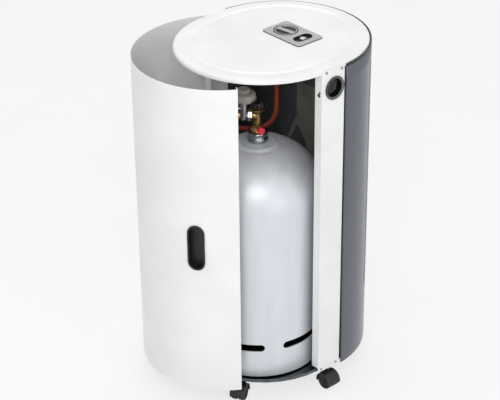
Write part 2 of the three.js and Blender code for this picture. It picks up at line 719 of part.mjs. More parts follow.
// Open-topped chimney box over the burner; its sides reach down to the tray as legs.
function burnerBox() {
  const front = burnerY - 33;
  const rear = bulkheadY - 8;
  const base = floorTop + gap;
  const t = boxSheet;
  let body = box(-boxHalf, boxHalf, front, rear, base, boxTop)
    .subtract(box(-boxHalf + t, boxHalf - t, front + t, rear - t, base - 1, boxTop + 1));
  body = body.subtract(box(-boxHalf + t, boxHalf - t, front - 1, rear + 1, base - 1, boxMouth));
  const cableWindow = [front + 10, rear - 10, 20, 80];
  body = body.subtract(box(-boxHalf - 1, boxHalf + 1, ...cableWindow));
  const injectorHole = 7;
  return body.subtract(moved(sideRod(injectorHole, boxHalf - 3, boxHalf + 3, 0), 0, burnerY, burnerZ));
}

function burnerTube() {
  const reach = boxHalf - boxSheet - gap;
  const mouthRadius = 9;
  const wall = burnerWall;
  let body = sideRod(burnerRadius, -reach, reach, 0)
    .subtract(sideRod(burnerRadius - wall, -reach + wall, reach - wall, 0))
    .subtract(sideRod(mouthRadius, reach - 2 * wall, reach + 1, 0));
  for (let i = 0; i < portCount; i += 1) {
    const x = (i - (portCount - 1) / 2) * portPitch;
    body = body.subtract(box(x - 1, x + 1, -8, 8, burnerRadius - 5, burnerRadius + 1));
  }
  return moved(body, 0, burnerY, burnerZ);
}

const electrodeFoot = pilotTop - 33.7;
const probeTip = pilotTop + 36.3;

function pilotBurner() {
  const height = 8;
  const half = pilotSpread + 9;
  const block = box(pilotX - half, pilotX + half, pilotY - 6, burnerY + 12, pilotTop - height, pilotTop);
  const jet = moved(rod(4, pilotTop - 1, pilotTop + 24, 12), pilotX, pilotY);
  return block.add(jet)
    .subtract(moved(rod(1.5 + 2 * gap, pilotTop - height - 1, pilotTop + 1, 12), probeX, pilotY))
    .subtract(moved(rod(3 + gap, pilotTop - height - 1, pilotTop + 1, 12), electrodeX, pilotY));
}

// Copper capillary: from the flame out through the leg's window, up, and over the bulkhead to the tap.
function thermocouple() {
  const side = -boxHalf - 30;
  return tube([
    [probeX, pilotY, probeTip], [probeX, pilotY, pilotTop + 14], [probeX, pilotY, pilotTop - 4],
    [probeX, pilotY, pilotTop - 20], [probeX - 5, pilotY + 3, 60], [-boxHalf + 10, pilotY + 11, 48],
    [-boxHalf - 8, pilotY + 21, 48], [-boxHalf - 22, pilotY + 31, 62], [side + 2, pilotY + 39, 100],
    [side, pilotY + 41, 300], [side, pilotY + 41, lidUnder - 227.5], [side + 6, pilotY + 43, lidUnder - 97.5],
    [side + 28, bulkheadY - 12, lidUnder - 55.5], [side + 64, bulkheadY + 2, lidUnder - 37.5],
    [-44, -84, lidUnder - 30.5], [-24, -64, lidUnder - 30.5], [-8 - 2 * gap, -62, lidUnder - 30.5],
  ], 1.5, 4, 48);
}

function sparkElectrode() {
  const ceramicTop = probeTip - 14;
  const body = turned([
    [0, electrodeFoot], [3, electrodeFoot], [3, ceramicTop], [1, ceramicTop + 1], [1, probeTip], [0, probeTip],
  ], 12);
  return moved(body, electrodeX, pilotY);
}

// High-voltage lead: from the piezo over the bulkhead, down, and through the window to the electrode.
function ignitionLead() {
  const [bx, by] = buttonCentre;
  const side = -boxHalf - 40;
  return tube([
    [bx, by, piezoBottom - gap], [bx, by, piezoBottom - 7], [bx - 4, by - 12, lidUnder - 51.5],
    [bx - 21, bulkheadY + 16, lidUnder - 56.5], [bx - 47, bulkheadY - 10, lidUnder - 65.5],
    [side + 24, pilotY + 37, lidUnder - 97.5], [side + 2, pilotY + 35, lidUnder - 167.5],
    [side, pilotY + 35, 400], [side, pilotY + 35, 130], [side + 8, pilotY + 25, 62],
    [-boxHalf - 8, pilotY + 13, 34], [-boxHalf + 24, pilotY + 3, 30], [electrodeX - 7, pilotY, 40],
    [electrodeX, pilotY, 58], [electrodeX, pilotY, electrodeFoot - gap],
  ], 2, 6, 44);
}

// ---------------------------------------------------------------- gas bottle
function gasBottle() {
  const footInner = bottleRadius - bottleWall - gap;
  const bottomRise = 70;
  const bottomZ = 95;
  const steps = 4;
  const points = [];
  for (let i = 0; i <= steps; i += 1) {
    const a = degrees(90 * i / steps);
    points.push([footInner * Math.sin(a), bottomZ - bottomRise * Math.cos(a)]);
  }
  points.push([footInner, footRingTop + gap]);
  points.push([bottleRadius, footRingTop + gap]);
  const domeEnd = Math.acos(neckRadius / bottleRadius);
  for (let i = 0; i <= steps; i += 1) {
    const a = domeEnd * i / steps;
    points.push([bottleRadius * Math.cos(a), bottleShoulderZ + bottleDomeHeight * Math.sin(a)]);
  }
  points.push([neckRadius, neckTop]);
  points.push([neckBore, neckTop]);
  const inner = bottleRadius - bottleWall;
  const innerEnd = Math.acos(neckBore / inner);
  for (let i = steps; i >= 0; i -= 1) {
    const a = innerEnd * i / steps;
    points.push([inner * Math.cos(a), bottleShoulderZ + (bottleDomeHeight - bottleWall) * Math.sin(a)]);
  }
  points.push([inner, footRingTop + gap + bottleWall]);
  points.push([footInner - bottleWall, footRingTop]);
  for (let i = steps; i >= 0; i -= 1) {
    const a = degrees(90 * i / steps);
    points.push([(footInner - bottleWall) * Math.sin(a), bottomZ - (bottomRise - bottleWall) * Math.cos(a)]);
  }
  return moved(turned(points, 36), ...bottleCentre);
}

function bottleFootRing() {
  let body = rod(bottleRadius, bottleFootZ, footRingTop, 36)
    .subtract(rod(bottleRadius - bottleWall, bottleFootZ - 1, footRingTop + 1, 36));
  const pitch = 360 / slotCount;
  const half = (slotTop - slotBottom) / 2;
  for (let i = 0; i < slotCount; i += 1) {
    const from = slotPhase + slotBridge / 2 + pitch * i;
    const to = from + pitch - slotBridge;
    const inner = bottleRadius - 2 * bottleWall;
    const outer = bottleRadius + bottleWall;
    const wedge = [...arc(0, 0, outer, from, to, 4), ...arc(0, 0, inner, to, from, 4)];
    body = body.subtract(extruded(wedge, slotBottom, slotTop));
    for (const a of [from, to]) {
      body = body.subtract(moved(sideRod(half, inner, outer, a, 8), 0, 0, (slotTop + slotBottom) / 2));
    }
  }
  return moved(body, ...bottleCentre);
}

function neckRing() {
  const inner = neckRadius + gap;
  const low = 559;
  const body = turned([
    [0, low], [neckRingRadius - 2, low], [neckRingRadius, low + 2], [neckRingRadius, low + 9],
    [neckRingRadius - 2, low + 11], [neckRingRadius - 2, neckRingTop - 5], [neckRingRadius, neckRingTop - 4],
    [neckRingRadius, neckRingTop - 1], [neckRingRadius - 1, neckRingTop], [0, neckRingTop],
  ], 24).subtract(rod(inner, low - 1, neckRingTop + 1, 24));
  return moved(body, ...bottleCentre);
}

const nutStart = 12 + gap;
const nutEnd = 22;

function bottleValve() {
  const threadBottom = neckTop - 16;
  const body = turned([
    [0, threadBottom], [neckBore - gap, threadBottom], [neckBore - gap, neckTop + gap],
    [neckRadius - 2, neckTop + gap], [neckRadius - 2, neckTop + 14], [11, neckTop + 20],
    [9, neckTop + 28], [9, handwheelBottom - 6.2], [16, handwheelBottom - 4.5], [16, handwheelBottom - 2], [12, handwheelBottom - gap], [0, handwheelBottom - gap],
  ], 16);
  const outlet = sideRod(9, 0, nutStart - gap, outletTurn).translate([0, 0, valveOutletZ]);
  const drain = sideRod(6, 0, 20, outletTurn + drainTurn).translate([0, 0, drainZ]);
  const stemBore = rod(3 + gap, handwheelBottom - 12, handwheelBottom + 1, 16);
  return moved(body.add(outlet).add(drain).subtract(stemBore), ...bottleCentre);
}

function outletCap() {
  const body = sideRod(9, 20 + gap, 30, outletTurn + drainTurn, 32).translate([0, 0, drainZ]);
  return moved(body, ...bottleCentre);
}

function valveHandwheel() {
  let body = turned([
    [0, handwheelBottom], [handwheelRadius - 2, handwheelBottom], [handwheelRadius, handwheelBottom + 3],
    [handwheelRadius, handwheelBottom + 11], [handwheelRadius - 3, handwheelBottom + 16],
    [7, handwheelBottom + 16], [6, handwheelBottom + 14], [0, handwheelBottom + 14],
  ], 24);
  const fluteCount = 8;
  const fluteRadius = 3.2;
  for (let i = 0; i < fluteCount; i += 1) {
    const a = degrees(360 * i / fluteCount);
    const reach = handwheelRadius + 1;
    body = body.subtract(moved(rod(fluteRadius, handwheelBottom - 1, handwheelBottom + 17, 8),
      reach * Math.cos(a), reach * Math.sin(a)));
  }
  body = body.add(rod(3, handwheelBottom - 11, handwheelBottom + 1, 16));
  return moved(body, ...bottleCentre);
}

const regulatorCentre = [
  bottleCentre[0] + regulatorReach * outletDir.x,
  bottleCentre[1] + regulatorReach * outletDir.y,
];

function unionNut() {
  const body = sideRod(13.5, nutStart, nutEnd, outletTurn, 6).translate([0, 0, valveOutletZ]);
  return moved(body, ...bottleCentre);
}

function regulatorBody() {
  const body = turned([
    [0, valveOutletZ - 10], [7, valveOutletZ - 10], [8, valveOutletZ - 9], [8, regulatorBottom - 16],
    [10, regulatorBottom - 10], [13, regulatorBottom - 1], [regulatorRadius - 1, regulatorBottom],
    [regulatorRadius, regulatorBottom + 1], [regulatorRadius, regulatorBottom + 4],
    [regulatorRadius - 1, regulatorBottom + 5], [regulatorRadius - 2, regulatorBottom + 6],
    [regulatorRadius - 2, regulatorBottom + 15], [regulatorRadius - 6, regulatorBottom + 18],
    [0, regulatorBottom + 18],
  ], 24);
  const inlet = sideRod(7, -(regulatorReach - nutEnd - gap), 0, outletTurn, 20).translate([0, 0, valveOutletZ]);
  return moved(body.add(inlet), ...regulatorCentre);
}

function regulatorCap() {
  const low = regulatorBottom + 18 + gap;
  const body = turned([
    [0, low], [14, low], [14, low + 7], [12.5, low + 8.5], [0, low + 8.5],
  ], 32);
  return moved(body, ...regulatorCentre);
}

const tailReach = 38;

function hoseTail() {
  const body = sideRod(7.5, 8 + gap, 18, outletTurn, 6).add(sideRod(5, 16, tailReach, outletTurn))
    .translate([0, 0, valveOutletZ]);
  return moved(body, ...regulatorCentre);
}

// ---------------------------------------------------------------- gas hose
// Down from the tap, behind the bottle valve, round a wide turn and back to the regulator's tail.
const tailEnd = tailReach + gap;
const hoseRoute = [
  [31.5, -43.7, inletEnd - gap], [31.5, -43.7, inletEnd - 18], [31.5, -43.7, 618],
  [31.7, -43.5, 598], [33.1, -41.8, 580], [36.4, -38, 565.5],
  [41.6, -31.9, 553.8], [47.7, -24.7, 546], [54.9, -16.3, 541], [63, -6.8, 538.4],
  [71.8, 3.4, 537.8], [82.2, 15.6, 539.2], [91.2, 26.3, 542.4], [101, 37.7, 547.4],
  [111.4, 49.7, 554], [120.6, 66.1, 563], [122.7, 85.1, 573], [117.3, 103.4, 584],
  [105.8, 117.7, 594.5], [89.7, 126.6, 604.5], [71.6, 128.8, 613], [53.9, 124, 619.5],
  [42.8, 116.6, 621.7], [38.3, 111.8, 622], [33.3, 106.2, 622],
];

const clampInner = hoseRadius + 0.4;
const clampBand = 1.2;
const clampWidth = 7;

function clampRing() {
  const ring = rod(clampInner + clampBand, 0, clampWidth, 24).subtract(rod(clampInner, -1, clampWidth + 1, 24));
  const screw = box(clampInner + 0.4, clampInner + 5, -4, 4, 1.5, clampWidth - 1.5);
  return ring.add(screw);
}

function tapClamp() {
  return moved(clampRing(), ...tapInlet, inletEnd - gap - 4 - clampWidth);
}

function regulatorClamp() {
  return moved(clampRing().rotate([0, 90, 0]).rotate([0, 0, outletTurn])
    .translate([outletDir.x * (tailEnd + gap), outletDir.y * (tailEnd + gap), valveOutletZ]), ...regulatorCentre);
}

// ---------------------------------------------------------------- castors
// Built with the swivel axis on Z and the wheels trailing along +X.
const axleZ = wheelRadius - castorHeight;
const hoodRadius = -socketDepth - gap - axleZ;
const pocketRadius = wheelRadius + 0.8;
const webHalf = 2.5;

function castorHousing() {
  const alongY = (radius, y0, y1, sides) => sideRod(radius, y0, y1, 90, sides).translate([castorTrail, 0, axleZ]);
  const below = 5;
  let body = alongY(hoodRadius, -hoodHalfWidth, hoodHalfWidth, 20)
    .subtract(box(-50, 80, -40, 40, axleZ - 60, axleZ - below));
  body = body.add(rod(10, -socketDepth - gap - 9, -socketDepth - gap, 12));
  for (const side of [-1, 1]) {
    const y0 = side > 0 ? webHalf : -hoodHalfWidth - 1;
    const y1 = side > 0 ? hoodHalfWidth + 1 : -webHalf;
    body = body.subtract(alongY(pocketRadius, y0, y1, 20));
  }
  body = body.add(alongY(axleRadius, -wheelWidth - webHalf, wheelWidth + webHalf, 8));
  return body.add(rod(stemRadius, -socketDepth - gap - 1, -2.2, 12));
}

function castorWheel() {
  const bore = axleRadius + gap;
  const tyre = 1.5;
  const dish = 3;
  const body = turned([
    [0, 0], [wheelRadius, 0], [wheelRadius, wheelWidth - tyre], [wheelRadius - tyre, wheelWidth],
    [wheelRadius - 4, wheelWidth], [wheelRadius - 6, wheelWidth - dish], [0, wheelWidth - dish],
  ], 20);
  return body.subtract(rod(bore, -1, wheelWidth + 1, 10));
}

function castor(place, index) {
  const group = new THREE.Group();
  group.position.set(place.x, place.y, 0);
  group.rotation.z = degrees(place.turn);
  group.add(piece(`castor_${index}_housing`, castorHousing(), blackPlastic));
  for (const [side, label] of [[1, 'a'], [-1, 'b']]) {
    const wheel = piece(`castor_${index}_wheel_${label}`, castorWheel(), blackRubber);
    wheel.rotation.x = -side * Math.PI / 2;
    wheel.position.set(castorTrail, side * (webHalf + gap), axleZ);
    group.add(wheel);
  }
  return group;
}

// ---------------------------------------------------------------- assembly
const heater = new THREE.Group();
heater.add(
  piece('base_tray', baseTray(), galvanised),
  piece('latch_post', latchPost(), whiteEnamel),
  piece('hinge_post', hingePost(), whiteEnamel),
  piece('lid', lid(), whiteEnamel),
  piece('front_panel', frontPanel(), anthracite),
  piece('top_trim_strip', topTrimStrip(), blackPlastic),
  piece('bulkhead', bulkhead(), darkSheet),
  piece('heat_shield', heatShield(), darkSheet),
  piece('hinge_bracket_top', hingeBracketTop(), galvanised),
  piece('hinge_bracket_bottom', hingeBracketBottom(), galvanised),
  piece('grip_cup', gripCup(), greyPlastic),
  piece('control_plate', controlPlate(), brushedPlate),
  piece('knob_bezel', knobBezel(), blackPlastic),
  piece('knob_disc', knobDisc(), blackPlastic),
  piece('knob_trim', knobTrim(), chrome),
  piece('tap_spindle', tapSpindle(), brass),
  piece('button_recess', buttonRecess(), blackPlastic),
  piece('ignition_button', ignitionButton(), chrome),
  piece('piezo_body', piezoBody(), blackPlastic),
  piece('gas_tap_body', gasTapBody(), brass),
  piece('gas_pipe', gasPipe(), copper),
  piece('burner_injector', burnerInjector(), brass),
  piece('burner_box', burnerBox(), heatSteel),
  piece('burner_tube', burnerTube(), heatSteel),
  piece('pilot_burner', pilotBurner(), heatSteel),
  piece('thermocouple', thermocouple(), copper),
  piece('spark_electrode', sparkElectrode(), ceramic),
  piece('ignition_lead', ignitionLead(), blackRubber),
  piece('gas_bottle', gasBottle(), bottlePaint),
  piece('bottle_foot_ring', bottleFootRing(), bottlePaint),
  piece('neck_ring', neckRing(), galvanised),
  piece('bottle_valve', bottleValve(), brass),
  piece('outlet_cap', outletCap(), redPlastic),
  piece('valve_handwheel', valveHandwheel(), blackPlastic),
  piece('union_nut', unionNut(), chrome),
  piece('regulator_body', regulatorBody(), regulatorGrey),
  piece('regulator_cap', regulatorCap(), greyPlastic),
  piece('hose_tail', hoseTail(), brass),
  piece('gas_hose', tube(hoseRoute, hoseRadius, hoseSides, 40), orangeRubber),
  piece('hose_clamp_tap', tapClamp(), chrome),
  piece('hose_clamp_regulator', regulatorClamp(), chrome),
);

const door = new THREE.Group();
door.position.set(hingeX, hingeY, 0);
door.rotation.z = -degrees(doorRestAngle);
for (const [name, body, material] of [
  ['door_panel', doorPanel(), whiteEnamel],
  ['door_handle_cup', doorHandleCup(), blackPlastic],
  ['door_catch', doorCatch(), galvanised],
]) {
  const mesh = piece(name, body, material);
  mesh.position.set(-hingeX, -hingeY, 0);
  door.add(mesh);
}
heater.add(door);

castorPlaces.forEach((place, i) => heater.add(castor(place, i + 1)));

export default heater;
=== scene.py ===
# %% [markdown]
# # A portable gas cabinet heater
# A sheet-metal cabinet on castors, seen from behind with its curved door ajar. The gas bottle stands in the bay.
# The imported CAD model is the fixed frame: every piece below is in its metres and rides on one of its bodies.
# The order is camera, hose, finishes, the CAD pieces that stay, and then the pieces that need finer geometry.

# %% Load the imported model
import json
import math

import bpy
from mathutils import Matrix, Vector


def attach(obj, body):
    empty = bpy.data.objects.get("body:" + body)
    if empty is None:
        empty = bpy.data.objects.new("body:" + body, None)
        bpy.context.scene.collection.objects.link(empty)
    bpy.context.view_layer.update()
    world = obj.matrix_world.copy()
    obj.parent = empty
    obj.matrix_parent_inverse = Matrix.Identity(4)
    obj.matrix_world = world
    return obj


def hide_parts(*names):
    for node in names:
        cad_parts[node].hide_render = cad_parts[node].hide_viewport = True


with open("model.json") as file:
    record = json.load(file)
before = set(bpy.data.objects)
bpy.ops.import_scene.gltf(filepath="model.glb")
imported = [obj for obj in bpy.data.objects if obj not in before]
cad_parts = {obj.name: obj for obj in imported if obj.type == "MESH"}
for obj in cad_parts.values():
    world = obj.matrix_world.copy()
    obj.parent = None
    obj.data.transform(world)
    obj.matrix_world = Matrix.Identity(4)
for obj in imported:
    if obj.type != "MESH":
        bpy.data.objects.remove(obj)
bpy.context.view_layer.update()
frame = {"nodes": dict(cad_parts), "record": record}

# %% [markdown]
# ## Sizes that several pieces share
# The source of the solids works in millimetres, so the numbers here are in millimetres too.
# One factor turns them to metres at the moment a mesh is made.

# %% Shared sizes in millimetres
MM = 0.001
BODY_RADIUS = 200
FLAT_HALF = 28
CABINET_HEIGHT = 790
SHEET = 1
LID_TOP = 789
BOTTLE_X, BOTTLE_Y = -12.5, 54.8
BOTTLE_RADIUS = 150
OUTLET_TURN, OUTLET_Z = 48.3, 622
SIDE_OUTLET_TURN, SIDE_OUTLET_Z = OUTLET_TURN + 108, 594
REGULATOR_X, REGULATOR_Y = 7.79, 77.57
KNOB_X, KNOB_Y = 11, -53
BUTTON_X, BUTTON_Y = -45, -53
PLATE_X, PLATE_Y = -12, -52
FLOOR_Z = -55
print("cabinet", 2 * BODY_RADIUS, "x", 2 * (BODY_RADIUS + FLAT_HALF), "x", CABINET_HEIGHT, "mm")

# %% [markdown]
# ## The camera
# The picture looks down at about thirty degrees on the rear left of the cabinet, with a long lens.
# A long lens keeps the uprights nearly parallel. The camera is aimed at a point and then rolled a little,
# because the cabinet in the picture leans by half a degree.

# %% Camera
def aimed(place, target, roll=0.0):
    turn = (Vector(target) - Vector(place)).to_track_quat("-Z", "Y").to_matrix().to_4x4()
    return Matrix.Translation(place) @ turn @ Matrix.Rotation(roll, 4, "Z")


camera_data = bpy.data.cameras.new("studio_camera")
camera_data.lens = 123.29
camera_data.sensor_width = 36
camera_data.sensor_fit = "HORIZONTAL"
camera = bpy.data.objects.new("studio_camera", camera_data)
camera_target = Vector((0.0341, 0.0393, 0.3750))
camera_rise = math.radians(29.74)
camera_side = Vector((-0.755 * math.cos(camera_rise), 0.656 * math.cos(camera_rise), math.sin(camera_rise)))
camera.matrix_world = aimed(camera_target + 4.035 * camera_side, camera_target, roll=-0.0098)
bpy.context.scene.collection.objects.link(camera)
bpy.context.scene.camera = camera
print("camera at", tuple(round(v, 3) for v in camera.matrix_world.translation))

# %% [markdown]
# ## Making meshes
# A turned part is a profile spun round an axis, and a pressed part is a stack of outlines.
# Both are plain lists of corners and faces, so the maker decides where each corner goes.
# A face is shaded smooth, and an edge sharper than a given angle stays crisp.

# %% A piece from corners and faces
def make_piece(name, corners, faces, crisp=35):
    mesh = bpy.data.meshes.new(name)
    mesh.from_pydata([(x * MM, y * MM, z * MM) for x, y, z in corners], [], faces)
    mesh.validate()
    mesh.shade_smooth()
    mesh.set_sharp_from_angle(angle=math.radians(crisp))
    piece = bpy.data.objects.new(name, mesh)
    bpy.context.scene.collection.objects.link(piece)
    return piece


# %% [markdown]
# A lathe turns a bar against a tool. Here the profile is a list of (radius, height) points that starts and ends
# on the axis, or closes on itself for a ring. `shape` may change the radius with the angle, for flutes and knurls.

# %% Turned parts
def turned(profile, sides=96, ring=False, shape=None):
    corners, rows = [], []
    for r, z in profile:
        if r == 0:
            rows.append([len(corners)] * sides)
            corners.append((0, 0, z))
            continue
        row = []
        for i in range(sides):
            a = 2 * math.pi * i / sides
            reach = shape(a, r, z) if shape else r
            row.append(len(corners))
            corners.append((reach * math.cos(a), reach * math.sin(a), z))
        rows.append(row)
    faces = []
    pairs = list(zip(rows, rows[1:])) + ([(rows[-1], rows[0])] if ring else [])
    for low, high in pairs:
        for i in range(sides):
            j = (i + 1) % sides
            loop = [low[i], low[j], high[j], high[i]]
            loop = [v for k, v in enumerate(loop) if v not in loop[:k]]
            if len(loop) > 2:
                faces.append(loop)
    return corners, faces


def placed(part, x=0, y=0, z=0, turn=0, lay=False):
    """Lays a part's axis along +X if asked, turns it about Z by degrees, and moves it."""
    corners, faces = part
    c, s = math.cos(math.radians(turn)), math.sin(math.radians(turn))
    out = []
    for px, py, pz in corners:
        if lay:
            px, py, pz = pz, py, -px
        out.append((px * c - py * s + x, px * s + py * c + y, pz + z))
    return out, faces


def together(*parts):
    corners, faces = [], []
    for more, loops in parts:
        start = len(corners)
        corners += more
        faces += [[v + start for v in loop] for loop in loops]
    return corners, faces


# %% [markdown]
# A pressed lid or a plate is a stack of outlines of equal point count, closed by a face at each end.

# %% Pressed parts
def arc(x, y, radius, start, end, steps):
    angles = [math.radians(start + (end - start) * i / steps) for i in range(steps + 1)]
    return [(x + radius * math.cos(a), y + radius * math.sin(a)) for a in angles]


def cabinet_outline(inset, steps=72):
    radius = BODY_RADIUS - inset
    return arc(0, FLAT_HALF, radius, 0, 180, steps) + arc(0, -FLAT_HALF, radius, 180, 360, steps)


def stacked(rings):
    count = len(rings[0][0])
    corners = [(x, y, z) for outline, z in rings for x, y in outline]
    faces = []
    for k in range(len(rings) - 1):
        for i in range(count):
            a, b = k * count + i, k * count + (i + 1) % count
            faces.append([a, b, b + count, a + count])
    faces.append(list(range(count))[::-1])
    faces.append([(len(rings) - 1) * count + i for i in range(count)])
    return corners, faces


# %% [markdown]
# A drilled or punched hole is cut with a boolean modifier, which is then applied.
# The cutter is a piece that only exists for the cut.

# %% Cutting holes
def cut(piece, *cutters):
    for cutter in cutters:
        tool = make_piece("cutter", *cutter)
        knife = piece.modifiers.new("cut", "BOOLEAN")
        knife.operation = "DIFFERENCE"
        knife.solver = "EXACT"
        knife.object = tool
        done = bpy.data.meshes.new_from_object(piece.evaluated_get(bpy.context.evaluated_depsgraph_get()))
        piece.modifiers.remove(knife)
        piece.data = done
        bpy.data.objects.remove(tool)
    piece.data.shade_smooth()
    piece.data.set_sharp_from_angle(angle=math.radians(30))


def block(x0, x1, y0, y1, z0, z1):
    return stacked([([(x0, y0), (x1, y0), (x1, y1), (x0, y1)], z0), ([(x0, y0), (x1, y0), (x1, y1), (x0, y1)], z1)])


# %% [markdown]
# ## The gas hose
# Orange-red rubber gas hose, 12 mm outside. It leaves the tap under the lid, bends down behind the bottle valve,
# runs round a wide turn and ends on the regulator's tail. A curve with a round bevel is the honest way:
# the line is the hose's middle, and its length can be measured.

# %% Hose route
hose_route = [
    (31.5, -43.7, 721.7), (31.5, -43.7, 704), (31.5, -43.7, 661), (31.5, -43.7, 618),
    (31.7, -43.5, 598), (33.1, -41.8, 580), (36.4, -38, 565.5),
    (41.6, -31.9, 553.8), (47.7, -24.7, 546), (54.9, -16.3, 541), (63, -6.8, 538.4),
    (71.8, 3.4, 537.8), (82.2, 15.6, 539.2), (91.2, 26.3, 542.4), (101, 37.7, 547.4),
    (111.4, 49.7, 554), (120.6, 66.1, 563), (122.7, 85.1, 573), (117.3, 103.4, 584),
    (105.8, 117.7, 594.5), (89.7, 126.6, 604.5), (71.6, 128.8, 613), (53.9, 124, 619.5),
    (42.8, 116.6, 621.7), (38.3, 111.8, 622), (33.3, 106.2, 622),
]
hose_curve = bpy.data.curves.new("gas_hose_tube", "CURVE")
hose_curve.dimensions = "3D"
hose_line = hose_curve.splines.new("BEZIER")
hose_line.bezier_points.add(len(hose_route) - 1)
for point, (x, y, z) in zip(hose_line.bezier_points, hose_route):
    point.co = (x * MM, y * MM, z * MM)
    point.handle_left_type = point.handle_right_type = "AUTO"
hose_line.resolution_u = 8
hose_curve.bevel_depth = 0.006
hose_curve.bevel_resolution = 6
hose_curve.use_fill_caps = True
hose = bpy.data.objects.new("gas_hose_tube", hose_curve)
bpy.context.scene.collection.objects.link(hose)
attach(hose, "cabinet")
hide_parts("gas_hose")

# %% [markdown]
# ## Finishes
# A colour is picked as an sRGB hex value and turned to linear once, because shaders work in linear light.
# One small function adds a node with its settings and links, so each finish reads as a short recipe.

# %% Colour and node helpers
def linear(code):
    parts = [int(code[i:i + 2], 16) / 255 for i in (1, 3, 5)]
    return tuple(v / 12.92 if v <= 0.04045 else ((v + 0.055) / 1.055) ** 2.4 for v in parts) + (1.0,)


def add(material, kind, settings=None, links=None, **traits):
    node = material.node_tree.nodes.new(kind)
    for trait, value in traits.items():
        setattr(node, trait, value)
    for socket, value in (settings or {}).items():
        node.inputs[socket].default_value = value
    for socket, source in (links or {}).items():
        material.node_tree.links.new(source, node.inputs[socket])
    return node


def blank_material(name, preview="#808080"):
    material = bpy.data.materials.new(name)
    material.use_nodes = True
    material.node_tree.nodes.clear()
    material.diffuse_color = linear(preview)
    return material


# %% [markdown]
# Most finishes are made alike: a slow variation of colour, a finer variation of gloss, and a fine relief.
# `surface` takes the three sizes in millimetres and leaves the recipe's own nodes to the finish.

# %% The common surface recipe
def mottle(material, size_mm, detail=3.0, stretch=(1, 1, 1), rough=0.55):
    place = add(material, "ShaderNodeTexCoord")
    spread = add(material, "ShaderNodeMapping", {"Scale": stretch}, {"Vector": place.outputs["Object"]})
    return add(
        material, "ShaderNodeTexNoise",
        {"Scale": 1000 / size_mm, "Detail": detail, "Roughness": rough}, {"Vector": spread.outputs["Vector"]},
    ).outputs["Fac"]


def between(material, factor, low, high, start=0.35, end=0.65):
    return add(
        material, "ShaderNodeMapRange",
        {"From Min": start, "From Max": end, "To Min": low, "To Max": high}, {"Value": factor},
    ).outputs["Result"]


def two_colours(material, factor, dark, light, start=0.35, end=0.65):
    mix = add(material, "ShaderNodeMix", data_type="RGBA")
    mix.inputs["A"].default_value = linear(dark)
    mix.inputs["B"].default_value = linear(light)
    material.node_tree.links.new(between(material, factor, 0, 1, start, end), mix.inputs["Factor"])
    return mix.outputs["Result"]


def relief(material, height, depth_mm, strength=0.5, under=None):
    links = {"Height": height}
    if under:
        links["Normal"] = under
    return add(
        material, "ShaderNodeBump", {"Strength": strength, "Distance": depth_mm * MM}, links,
    ).outputs["Normal"]


def finished(material, settings, links):
    shader = add(material, "ShaderNodeBsdfPrincipled", settings, links)
    add(material, "ShaderNodeOutputMaterial", links={"Surface": shader.outputs["BSDF"]})
    return material


# %% [markdown]
# ### White enamel
# Steel sheet, powder coated white and stoved. The coat flows into a faint orange peel about a millimetre across,
# which breaks up the edges of reflections. It is semi-gloss, and almost even in colour.

# %% White enamel
def white_enamel(name, dark="#EFEFED", light="#F6F6F4"):
    m = blank_material(name, light)
    colour = two_colours(m, mottle(m, 160, 2), dark, light)
    gloss = between(m, mottle(m, 25, 4), 0.34, 0.42)
    peel = relief(m, mottle(m, 1.6, 2), 0.02, 0.25)
    return finished(m, {"IOR": 1.5, "Coat Weight": 0.12, "Coat Roughness": 0.12},
                    {"Base Color": colour, "Roughness": gloss, "Normal": peel})


# %% [markdown]
# ### Anthracite enamel
# The heating front is coated in a dark metallic stoving enamel. Small flakes lift the colour where light grazes it,
# and a satin gloss draws the studio light into one broad upright band.

# %% Anthracite enamel
def anthracite_enamel():
    m = blank_material("anthracite_enamel", "#6A6C75")
    flakes = mottle(m, 0.9, 2)
    colour = two_colours(m, flakes, "#5D5F68", "#6C6E77", 0.4, 0.6)
    gloss = between(m, mottle(m, 18, 3), 0.22, 0.26)
    peel = relief(m, mottle(m, 1.4, 2), 0.015, 0.2)
    return finished(m, {"Metallic": 0.6, "IOR": 1.5},
                    {"Base Color": colour, "Roughness": gloss, "Normal": peel})


# %% [markdown]
# ### Galvanised steel
# Hot-dip zinc freezes in spangles, crystals some 10 mm wide that each mirror the light a little differently.
# Voronoi cells give each crystal its own tone and its own gloss.

# %% Galvanised steel
SPANGLE_MM = 9


def galvanised_steel(name="galvanised_steel", dark="#8B9095", light="#A6ABB0"):
    m = blank_material(name, light)
    place = add(m, "ShaderNodeTexCoord")
    crystals = add(
        m, "ShaderNodeTexVoronoi", {"Scale": 1000 / SPANGLE_MM, "Randomness": 1.0}, {"Vector": place.outputs["Object"]}
    )
    tone = add(m, "ShaderNodeSeparateColor", links={"Color": crystals.outputs["Color"]}).outputs["Red"]
    colour = two_colours(m, tone, dark, light, 0.0, 1.0)
    gloss = between(m, tone, 0.16, 0.26, 0.0, 1.0)
    waves = relief(m, mottle(m, 14, 2), 0.03, 0.25)
    return finished(m, {"Metallic": 1.0}, {"Base Color": colour, "Roughness": gloss, "Normal": waves})


# %% [markdown]
# ### Dark inner sheet
# The partition and the shield behind the bottle are painted a matt dark grey that hides the inside.
# Brush-thin dust and handling leave it slightly uneven.

# %% Dark inner sheet
def dark_inner_sheet(name="dark_inner_sheet", dark="#3A3E40", light="#474B4D"):
    m = blank_material(name, light)
    colour = two_colours(m, mottle(m, 60, 4), dark, light)
    gloss = between(m, mottle(m, 20, 4), 0.5, 0.66)
    grain = relief(m, mottle(m, 1.2, 2), 0.02, 0.3)
    return finished(m, {"IOR": 1.5}, {"Base Color": colour, "Roughness": gloss, "Normal": grain})


# %% [markdown]
# ### Moulded plastics
# Handles, trim and castors are injection moulded in a spark-eroded tool, so they carry a fine matt grain.
# Real grain is about 0.1 mm; it is drawn at 0.8 mm, the finest that shows at this distance.

